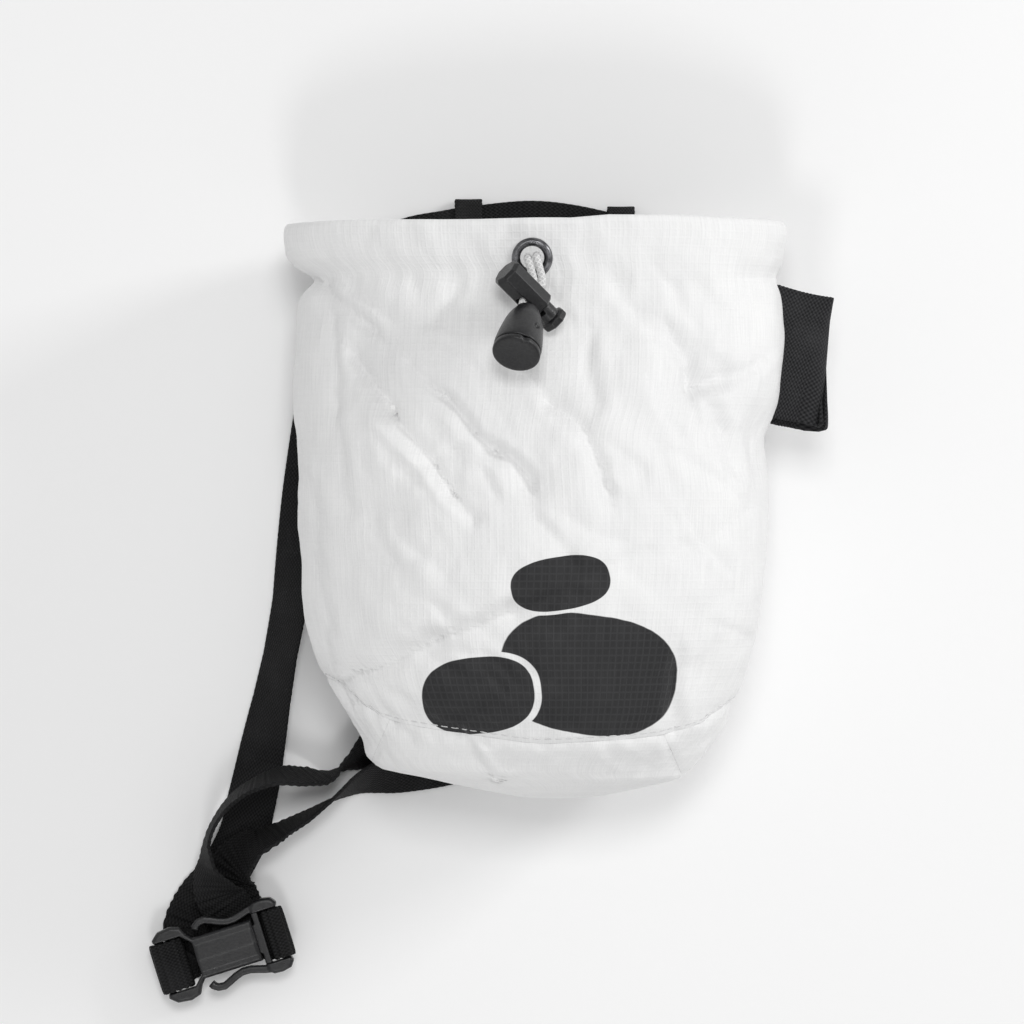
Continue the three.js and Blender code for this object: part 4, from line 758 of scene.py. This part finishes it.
def cloth_points(share_round, along):
    """Points of the finished cloth: the section with its folds, gathers and seams pressed in."""
    turn = turn_at(share_round)
    points, facing = section_point(along, turn)
    x, y = points[:, 0], points[:, 1]
    front = np.clip((facing[:, 2] - 0.05) / 0.45, 0, 1)
    front = front * front * (3 - 2 * front)
    soft = np.clip((points[:, 2] - 8 * MM) / (20 * MM), 0, 1)
    depth = fold_depth(x, y) * front
    # Gathers run away from the seams and fade within a finger's width.
    spot = points * [1, 0, 1]
    from_base = np.abs(y - seam_height(BASE_SEAM, x))
    from_collar = np.abs(y - seam_height(COLLAR_SEAM, x))
    gathers = smooth_noise(7, spot, 7.5 * MM) + 0.5 * smooth_noise(8, spot, 3.6 * MM)
    in_base = y < seam_height(BASE_SEAM, x)
    gathered = np.where(in_base, 0.62, 0.42) * MM
    fading = np.where(in_base, 14, 8) * MM
    depth += soft * gathered * gathers * np.exp(-from_base / fading)
    depth += soft * 0.40 * MM * gathers * np.exp(-from_collar / (9 * MM))
    # The seams pull the cloth in.
    depth += soft * 1.0 * MM * np.exp(-from_base / (1.5 * MM))
    depth += soft * 0.15 * MM * np.exp(-((from_collar / (2.4 * MM)) ** 2))
    # The collar's left end is pinched in below the rim, and the right one a little.
    below_rim = (points[:, 1] - 0.905 * BAG_LENGTH) / (3.0 * MM)
    left_end = np.clip((-x - 58 * MM) / (9 * MM), 0, 1)
    right_end = np.clip((x - 60 * MM) / (9 * MM), 0, 1)
    depth += soft * (2.6 * left_end + 0.7 * right_end) * MM * np.exp(-(below_rim**2))
    for mitre in (LEFT_MITRE, RIGHT_MITRE):
        away, _ = from_stretch(x, y, *mitre)
        depth += np.where(in_base, 1.0 * MM * np.exp(-away / (1.4 * MM)) * soft, 0)
    # Soft unevenness of the filled cloth.
    depth += soft * (0.9 * MM * smooth_noise(9, points, 34 * MM) + 0.35 * MM * smooth_noise(10, points, 13 * MM))
    depth += soft * 0.1 * MM * smooth_noise(12, points, 5 * MM)
    fade = np.clip(along / 0.03, 0, 1)
    points = points - facing * (depth * fade)[:, None]
    # The left half of the mouth sits a little lower.
    low_half = 1 - np.clip((x - 8 * MM) / (11 * MM), 0, 1)
    in_collar = np.clip((along - 0.9) / 0.1, 0, 1)
    points[:, 1] += MM * (1.7 - 1.2 * low_half) * in_collar
    points[:, 1] += 0.35 * MM * smooth_noise(15, spot, 40 * MM) * in_collar
    # The cloth lies flat under the eyelet.
    seat = np.array(EYELET_SEAT) * MM
    axis = np.array(EYELET_AXIS)
    rise = (points - seat) @ axis
    level = points - seat - rise[:, None] * axis
    near = np.clip((10 * MM - np.linalg.norm(level, axis=1)) / (4 * MM), 0, 1) * (points[:, 2] > 50 * MM)
    return points - (near * rise)[:, None] * axis


def along_seam(seam, share_round):
    """Share of the bag's length at which a seam crosses each line along the skin."""
    turn = turn_at(share_round)
    along = np.full(len(turn), float(seam[:, 1].mean()))
    for _ in range(30):
        points, _ = section_point(along, turn)
        along = 0.5 * along + 0.5 * seam_height(seam, points[:, 0]) / BAG_LENGTH
    return along


def cloth_uv(bm, share_round, along):
    lay_uv(bm, (share_round - 0.5) * SKIN_GIRTH, along * BAG_LENGTH)


def cloth_piece(name, bm, materials, thickness, node):
    """Gives the cloth its wall, with the last material inside and crisp edges round its rim."""
    outside = set(bm.faces)
    bmesh.ops.solidify(bm, geom=bm.faces[:], thickness=thickness)
    for face in bm.faces:
        on_rim = any(f in outside for e in face.edges for f in e.link_faces)
        if face not in outside and not on_rim:
            face.material_index = len(materials) - 1
    piece = finished(name, bm, materials, slot="ripstop", replaces=[node])
    piece.data.set_sharp_from_angle(angle=math.radians(70))
    return piece


SEAM_SPACE = 0.02 * MM

# Body of the bag, between the base's seam and the collar's.
bm = bmesh.new()
round_share, rise_share = grid_shares(bm, ROUND_STEPS, int(132 * MM / CLOTH_STEP))
low = along_seam(BASE_SEAM, round_share) + SEAM_SPACE / BAG_LENGTH
high = along_seam(COLLAR_SEAM, round_share)
body_along = low + (high - low) * rise_share
move_points(bm, cloth_points(round_share, body_along) + BAG_ORIGIN)
cloth_uv(bm, round_share, body_along)
merge_and_turn_outwards(bm)
cloth_piece("bag_cloth", bm, [CLOTH_PRINTED, LINING], CLOTH, "bag_body")

# Collar: a doubled channel for the cord, rolled over at the mouth and hemmed inside.
ROLL = 1.6 * MM
HEM_DEPTH = 11 * MM
bm = bmesh.new()
collar_rows = int(44 * MM / (0.8 * CLOTH_STEP))
round_share, rise_share = grid_shares(bm, ROUND_STEPS, collar_rows)
low = along_seam(COLLAR_SEAM, round_share)
outside = np.clip(rise_share / 0.5, 0, 1)
over = np.clip((rise_share - 0.5) / 0.14, 0, 1) * math.pi
inside = np.clip((rise_share - 0.64) / 0.36, 0, 1)
top = 1 - ROLL / BAG_LENGTH
collar_along = low + (top - low) * outside + ROLL * np.sin(over) / BAG_LENGTH - HEM_DEPTH * inside / BAG_LENGTH
inset = ROLL * (1 - np.cos(over)) - 0.5 * MM * np.sin(math.pi * outside) * (1 - inside)
points = cloth_points(round_share, collar_along)
turn = turn_at(round_share)
_, facing = section_point(collar_along, turn)
points = points - facing * inset[:, None]
move_points(bm, points + BAG_ORIGIN)
cloth_uv(bm, round_share, collar_along)
seat = Vector(in_frame(EYELET_SEAT))
axis = Vector(EYELET_AXIS)
bm.faces.ensure_lookup_table()
pierced = []
for face in bm.faces:
    to_face = face.calc_center_median() - seat
    if (to_face - axis * to_face.dot(axis)).length < 4.3 * MM and to_face.z > -12 * MM:
        pierced.append(face)
bmesh.ops.delete(bm, geom=pierced, context="FACES")
merge_and_turn_outwards(bm)
cloth_piece("collar_cloth", bm, [CLOTH_PLAIN], 0.5 * MM, "rim_collar")

# Base: front panel and two gussets, cut from one end cap along the mitre seams.


def base_grid():
    """The closed base end of the bag, before its cuts."""
    bm = bmesh.new()
    round_share, rise_share = grid_shares(bm, ROUND_STEPS, int(46 * MM / CLOTH_STEP))
    high = along_seam(BASE_SEAM, round_share) - SEAM_SPACE / BAG_LENGTH
    climb = np.clip((rise_share - 0.12) / 0.88, 0, 1)
    along = high * climb**1.5
    points = cloth_points(round_share, along)
    # The first rows close the end.
    shrink = np.clip(rise_share / 0.12, 0, 1)
    first = section_at(np.zeros(1))[0]
    middle = np.array([(first[0] + first[1]) / 2 * BAG_HALF_WIDTH, 0, (first[2] + first[3]) / 2 * BAG_DEPTH])
    points = middle + (points - middle) * np.sqrt(shrink)[:, None]
    points[:, 1] -= 0.8 * MM * (1 - shrink)
    move_points(bm, points + BAG_ORIGIN)
    cloth_uv(bm, round_share, along)
    bmesh.ops.remove_doubles(bm, verts=bm.verts, dist=1e-6)
    return bm


def cut_at_mitre(bm, mitre, keep_outside):
    """Keeps the cloth on one side of a mitre seam, with half the sewing space left beside it."""
    side = math.copysign(1, mitre[0][0])
    top, bottom = ((Vector((x * BAG_HALF_WIDTH, y * BAG_LENGTH, 0))) for x, y in mitre)
    outwards = Vector((top.y - bottom.y, bottom.x - top.x, 0)).normalized()
    if outwards.x * side < 0:
        outwards.negate()
    spot = top + Vector(BAG_ORIGIN) + outwards * (SEAM_SPACE if keep_outside else -SEAM_SPACE)
    bmesh.ops.bisect_plane(
        bm,
        geom=bm.verts[:] + bm.edges[:] + bm.faces[:],
        plane_co=spot,
        plane_no=outwards,
        clear_outer=not keep_outside,
        clear_inner=keep_outside,
    )


for name, node, cuts in [
    ("base_front_cloth", "base_panel", [(LEFT_MITRE, False), (RIGHT_MITRE, False)]),
    ("gusset_cloth_left", "base_gusset_left", [(LEFT_MITRE, True)]),
    ("gusset_cloth_right", "base_gusset_right", [(RIGHT_MITRE, True)]),
]:
    bm = base_grid()
    for mitre, keep_outside in cuts:
        cut_at_mitre(bm, mitre, keep_outside)
    bmesh.ops.recalc_face_normals(bm, faces=bm.faces)
    lowest = min(bm.faces, key=lambda f: f.calc_center_median().z)
    if lowest.normal.z > 0:
        bmesh.ops.reverse_faces(bm, faces=bm.faces)
    cloth_piece(name, bm, [CLOTH_PLAIN, LINING], CLOTH, node)


def base_stitching():
    """Stitches beside the base's seam, each one a short raised thread."""
    share = np.linspace(0.24, 0.76, 900)
    along = along_seam(BASE_SEAM, share) + 1.3 * MM / BAG_LENGTH
    line = cloth_points(share, along) + BAG_ORIGIN
    length = lengths_along(line)
    bm = bmesh.new()
    for start in np.arange(0, length[-1] - 3 * MM, STITCH_PITCH):
        ends = (start, start + STITCH_LENGTH)
        spots = [Vector([float(np.interp(end, length, line[:, k])) for k in range(3)]) for end in ends]
        made = bmesh.ops.create_uvsphere(bm, u_segments=8, v_segments=6, radius=0.5)
        run = spots[1] - spots[0]
        turn = run.to_track_quat("Z", "Y").to_matrix().to_4x4()
        size = Matrix.Diagonal((0.42 * MM, 0.42 * MM, run.length, 1))
        middle = Matrix.Translation((spots[0] + spots[1]) / 2)
        bmesh.ops.transform(bm, matrix=middle @ turn @ size, verts=made["verts"])
    finished("base_stitching", bm, [THREAD], slot="cord")


base_stitching()


# Waist belt


def belt():
    spots = np.array([in_frame(row[:3]) for row in BELT_ROUTE])
    rolls = [row[3] for row in BELT_ROUTE]
    at = centripetal(spots)
    spans = len(spots) - 1
    bar = np.array([-math.sin(BUCKLE_TURN), math.cos(BUCKLE_TURN), 0])
    small = 1e-4
    directions = []
    for i, roll in enumerate(rolls):
        t = i / spans
        run = unit(at(min(t + small, 1)) - at(max(t - small, 0)))[0]
        if roll is None:
            direction = bar
        else:
            level = np.array([-run[1], run[0], 0])
            level /= np.linalg.norm(level)
            up = np.cross(run, level)
            lean = math.radians(roll)
            direction = level * math.cos(lean) + up / np.linalg.norm(up) * math.sin(lean)
        if directions and direction @ directions[-1] < 0:
            direction = -direction
        directions.append(direction)
    directions = np.array(directions)
    step = 0.5 * MM
    places = []
    for i in range(spans):
        count = max(1, math.ceil(np.linalg.norm(spots[i + 1] - spots[i]) / step))
        places += [i + k / count for k in range(count)]
    places = np.array(places + [spans])
    line = at(places / spans)
    low = np.minimum(places.astype(int), spans - 1)
    share = (places - low)[:, None]
    across = directions[low] * (1 - share) + directions[low + 1] * share
    run = unit(np.gradient(line, axis=0))
    across = unit(across - run * np.sum(across * run, axis=1)[:, None])
    facing = np.cross(run, across)
    reach = np.abs(across[:, 2]) * WEBBING_WIDTH / 2 + np.abs(facing[:, 2]) * WEBBING_THICKNESS / 2
    line[:, 2] += np.maximum(0, reach - line[:, 2])

    # The cross ribs open where the webbing turns tightly round a bar.
    length = lengths_along(line)
    bend = np.linalg.norm(np.gradient(unit(np.gradient(line, axis=0)), axis=0), axis=1) / np.gradient(length)
    tight = np.clip((bend * 12 * MM - 0.8) / 1.2, 0, 1)
    reach = np.exp(-((np.arange(-60, 61) / 24.0) ** 2))
    tight = np.clip(np.convolve(tight, reach / reach.sum() * 4.5, mode="same"), 0, 1)

    def rib_waves(along, side):
        rib = np.cos(along * 2 * math.pi / BELT_RIB_PITCH)
        much = np.interp(along, length, tight)
        return (0.03 + 0.15 * much) * MM * rib, (0.04 + 0.34 * much) * MM * rib

    band(
        "belt_strap", line, across, WEBBING_WIDTH / 2 - 0.05 * MM, WEBBING_THICKNESS / 2 - 0.05 * MM, BELT_WEAVE,
        squareness=6.0, waves=rib_waves, slot="webbing", replaces=["waist_belt"],
    )


belt()


def belt_tape(name, node, spot):
    """Tape round the belt, standing along the bag. It is a closed band with rounded turns."""
    low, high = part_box(node)
    middle = in_frame(spot)
    half_long = (high[1] - low[1]) / 2 - TAPE_THICKNESS / 2
    half_high = (high[2] - low[2]) / 2 - TAPE_THICKNESS / 2
    steps = 160
    angle = np.linspace(0, 2 * math.pi, steps, endpoint=False)
    y = half_long * rounded(np.cos(angle), 7)
    z = half_high * rounded(np.sin(angle), 3)
    line = np.stack([np.full(steps, middle[0]), middle[1] + y, middle[2] + z], axis=1)
    line[:, 0] += 0.15 * MM * np.sin(2 * angle)
    across = np.tile([1.0, 0.0, 0.0], (steps, 1))

    def edge_waves(along, side):
        return 0.06 * MM * np.cos(along * 2 * math.pi / TAPE_RIB_PITCH), np.zeros(len(along))

    band(
        name, line, across, TAPE_WIDTH / 2, TAPE_THICKNESS / 2, TAPE_WEAVE,
        squareness=5.0, closed=True, waves=edge_waves, slot="webbing", replaces=[node],
    )


belt_tape("loop_tape_left", "belt_loop_left", LEFT_LOOP_AT)
belt_tape("loop_tape_right", "belt_loop_right", RIGHT_LOOP_AT)


def brush_loop():
    """Wide knitted elastic, folded into a loop on the bag's right side."""
    radius = (BRUSH_LOOP_HEIGHT - BRUSH_LOOP_THICKNESS) / 2
    bend = BRUSH_LOOP_REACH - BRUSH_LOOP_HEIGHT / 2
    root = -6.5 * MM
    straight = np.linspace(root, bend, 34)
    arc = np.linspace(-math.pi / 2, math.pi / 2, 26)
    x = np.concatenate([straight, bend + radius * np.cos(arc[1:-1]), straight[::-1]])
    z = np.concatenate([np.full(34, -radius), radius * np.sin(arc[1:-1]), np.full(34, radius)])
    start = np.array(BRUSH_LOOP_AT) * (BAG_HALF_WIDTH, BAG_LENGTH, BAG_DEPTH) + BAG_ORIGIN
    under = (z < 0) * np.clip(-z / radius, 0, 1)
    slope = 0.22 * x
    y = -slope - 1.7 * MM * under
    y_middle = start[1] + y - BRUSH_LOOP_WIDTH / 2
    middle = np.stack([start[0] + x * 0.92, y_middle, start[2] + z - 0.12 * x], axis=1)
    across = np.tile([0.0, 1.0, 0.0], (len(x), 1))

    def leaning(points):
        """The loop reaches less far at its lower edge, and its edges bow a little."""
        share = (start[1] - points[:, 1]) / BRUSH_LOOP_WIDTH
        out = points[:, 0] - start[0]
        points[:, 0] = start[0] + out * (1 - 0.2 * (share - 0.5))
        bow = 0.5 * MM * np.sin(math.pi * np.clip(out / BRUSH_LOOP_REACH, 0, 1))
        points[:, 1] += bow * np.sign(share - 0.5)
        return points

    def knit_waves(along, side):
        edges = 0.08 * MM * np.cos(along * 2 * math.pi / KNIT_PITCH)
        return edges, 0.12 * MM * np.cos(side * 1.4 * 2 * math.pi)

    band(
        "brush_elastic", middle, across, BRUSH_LOOP_WIDTH / 2, BRUSH_LOOP_THICKNESS / 2, KNIT,
        squareness=7.0, waves=knit_waves, shape=leaning, slot="elastic", replaces=["brush_loop"],
    )


brush_loop()


# Draw cord


def cord_strand(name, node, route, phase):
    """A strand of round braid, with its middle line and its length."""
    line = centripetal([in_frame(p) for p in route])(np.linspace(0, 1, 90))
    run = unit(np.gradient(line, axis=0))
    across = np.cross(run, np.tile([0.0, 0.0, 1.0], (len(line), 1)))
    across = unit(across + 1e-6)
    facing = np.cross(run, across)
    bm = bmesh.new()
    u_share, v_share = grid_shares(bm, 20, len(line) - 1)
    here = np.rint(v_share * (len(line) - 1)).astype(int)
    angle = u_share * 2 * math.pi
    length = lengths_along(line)
    along = length[here]
    wave = along * 2 * math.pi / BRAID_PITCH
    braid = 0.05 * MM * np.maximum(np.sin(wave + 4 * angle + phase), np.sin(wave - 4 * angle))
    radius = CORD_RADIUS - 0.05 * MM + braid
    sideways = across[here] * (np.cos(angle) * radius)[:, None]
    move_points(bm, line[here] + sideways + facing[here] * (np.sin(angle) * radius)[:, None])
    lay_uv(bm, along, u_share)
    close_up(bm)
    piece = finished(name, bm, [BRAID], slot="cord", replaces=[node])
    return piece, line, length[-1]


strands = [
    cord_strand("cord_strand_left", "drawcord_left", LEFT_STRAND, 0.0),
    cord_strand("cord_strand_right", "drawcord_right", RIGHT_STRAND, 1.0),
]


# Hard pieces


def spun(name, profile, origin, axis, material, steps=72, shape=None, **facts):
    """A profile of radius and height, spun once round an axis."""
    bm = bmesh.new()
    verts = [bm.verts.new((radius * MM, 0, height * MM)) for radius, height in profile]
    edges = [bm.edges.new(pair) for pair in zip(verts, verts[1:])]
    bmesh.ops.spin(
        bm, geom=verts + edges, cent=(0, 0, 0), axis=(0, 0, 1), angle=2 * math.pi, steps=steps, use_merge=True
    )
    bmesh.ops.remove_doubles(bm, verts=bm.verts, dist=1e-7)
    bmesh.ops.recalc_face_normals(bm, faces=bm.faces)
    if shape:
        shape(bm)
    turn = Vector((0, 0, 1)).rotation_difference(Vector(axis)).to_matrix().to_4x4()
    bmesh.ops.transform(bm, matrix=Matrix.Translation(Vector(in_frame(origin))) @ turn, verts=bm.verts)
    finished(name, bm, [material], **facts)


def arc_rows(centre, radius, start, end, steps):
    rows = []
    for i in range(steps + 1):
        angle = math.radians(start + (end - start) * i / steps)
        rows.append((centre[0] + radius * math.cos(angle), centre[1] + radius * math.sin(angle)))
    return rows


# Eyelet: rolled flange in front, tube through the cloth and washer behind.
eyelet_profile = [
    (3.45, -3.2), (5.7, -3.2), (5.85, -3.0), (5.85, -2.7), (5.6, -2.6), (3.85, -2.6), (3.8, -2.4), (3.8, 0.2),
    (5.5, 0.25), (5.8, 0.35), (5.85, 0.6), (5.75, 0.95),
    *arc_rows((4.75, 0.6), 1.05, 20, 160, 14),
    (3.55, 0.5), (3.42, 0.0), (3.4, -1.0), (3.4, -3.0), (3.45, -3.2),
]
spun("eyelet_ring", eyelet_profile, EYELET_SEAT, EYELET_AXIS, METAL, slot="gunmetal", replaces=["eyelet"])


def on_bell(direction, radius, height):
    """A spot of the bell in its own place, on the side that faces a direction of the frame."""
    turn = Vector((0, 0, 1)).rotation_difference(Vector(BELL_AXIS))
    local = turn.inverted() @ Vector(direction)
    level = Vector((local.x, local.y, 0)).normalized()
    return level * radius * MM + Vector((0, 0, height * MM))


def press_dimple(bm):
    """A round dimple in the bell's wall."""
    spot = on_bell((0.62, 0.1, 0.78), 6.1, 9.6)
    for vert in bm.verts:
        away = (vert.co - spot).length
        level = Vector((vert.co.x, vert.co.y, 0))
        if level.length > 4.4 * MM and away < 3 * MM:
            vert.co -= level.normalized() * 0.7 * MM * math.exp(-((away / (0.95 * MM)) ** 6))


bell_wall = centripetal([
    (3.38, 0, 0.5), (3.75, 0, 1.3), (4.35, 0, 2.6), (4.95, 0, 4.0), (5.4, 0, 5.4), (5.75, 0, 7.0), (6.05, 0, 8.6),
    (6.32, 0, 10.2), (6.55, 0, 11.8), (6.72, 0, 13.2), (6.8, 0, 14.4), (6.8, 0, 15.3),
])
bell_profile = [
    (2.6, 0.1), (2.9, 0.0), (3.15, 0.12),
    *[(float(r), float(h)) for r, _, h in bell_wall(np.linspace(0, 1, 44))],
    (6.7, 15.62), (6.5, 15.7), (5.6, 15.7), (5.5, 15.4), (5.5, 13.0), (4.7, 6.4), (2.65, 6.3), (2.6, 0.1),
]
spun(
    "bell_shell", bell_profile, BELL_TIP, BELL_AXIS, PLASTIC, steps=128, shape=press_dimple,
    slot="black_plastic", replaces=["cord_end_bell"],
)


def cut_notch(bm):
    """A small prising notch in the lid's edge."""
    notch = on_bell((0.4, 0.9, 0.3), 1.0, 0.0)
    for vert in bm.verts:
        level = Vector((vert.co.x, vert.co.y, 0))
        if level.length > 6.2 * MM:
            away = math.degrees(level.angle(notch))
            if away < 9:
                vert.co -= level.normalized() * 0.55 * MM * (1 - (away / 9) ** 2)


cap_profile = [
    (0.0, 14.2), (5.1, 14.2), (5.2, 14.4), (5.2, 16.0), (6.5, 16.0), (6.75, 16.08), (6.8, 16.3), (6.8, 17.1),
    (6.7, 17.42), (6.45, 17.58), (6.1, 17.6), (5.2, 17.55), (3.0, 17.45), (0.0, 17.4),
]
spun(
    "bell_lid", cap_profile, BELL_TIP, BELL_AXIS, PLASTIC, steps=120, shape=cut_notch,
    slot="black_plastic", replaces=["cord_end_cap"],
)


def moulded(name, node, cell, rounds, body):
    """A copy of a CAD node in fine even faces, with every edge rounded as in a mould."""
    bm = bmesh.new()
    bm.from_mesh(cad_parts[node].data)
    bmesh.ops.remove_doubles(bm, verts=bm.verts, dist=2e-6)
    rough = in_scene(name + "_rough", mesh_from(name + "_rough", bm))
    even = rough.modifiers.new("even", "REMESH")
    even.mode = "VOXEL"
    even.voxel_size = cell
    eased = rough.modifiers.new("eased", "SMOOTH")
    eased.factor = 0.5
    eased.iterations = rounds
    bpy.context.view_layer.update()
    bm = bmesh.new()
    bm.from_object(rough, bpy.context.evaluated_depsgraph_get())
    bpy.data.objects.remove(rough)
    finished(name, bm, [PLASTIC], body=body, slot="black_plastic", replaces=[node])


moulded("lock_barrel", "cord_lock_barrel", 0.17 * MM, 6, "chalk_bag")
moulded("lock_plunger", "cord_lock_plunger", 0.17 * MM, 5, "plunger")
moulded("socket_frame", "buckle_socket", 0.2 * MM, 7, "chalk_bag")
moulded("plug_frame", "buckle_plug", 0.2 * MM, 8, "chalk_bag")


# Floor and light

bm = bmesh.new()
bmesh.ops.create_grid(bm, x_segments=2, y_segments=2, size=2.0)
floor = in_scene("floor", mesh_from("floor", bm))
floor.data.materials.append(pale_floor())

world = bpy.data.worlds.new("studio")
bpy.context.scene.world = world
world.use_nodes = True
background = world.node_tree.nodes["Background"]
background.inputs["Color"].default_value = (1, 1, 1, 1)
background.inputs["Strength"].default_value = 0.5
bpy.context.scene.view_settings.view_transform = "Standard"


def soft_light(name, place, size, power):
    data = bpy.data.lights.new(name, "AREA")
    data.shape = "SQUARE"
    data.size = size
    data.energy = power
    light = in_scene(name, data)
    light.location = place
    light.rotation_euler = (Vector((0, 0, 0.03)) - Vector(place)).to_track_quat("-Z", "Y").to_euler()


soft_light("key_from_the_right", (1.05, 0.55, 0.55), 0.32, 4.9)
soft_light("overhead", (0.05, 0.45, 1.7), 0.4, 7.6)
soft_light("glint_from_below", (0.0, -0.9, 1.3), 0.3, 3.6)
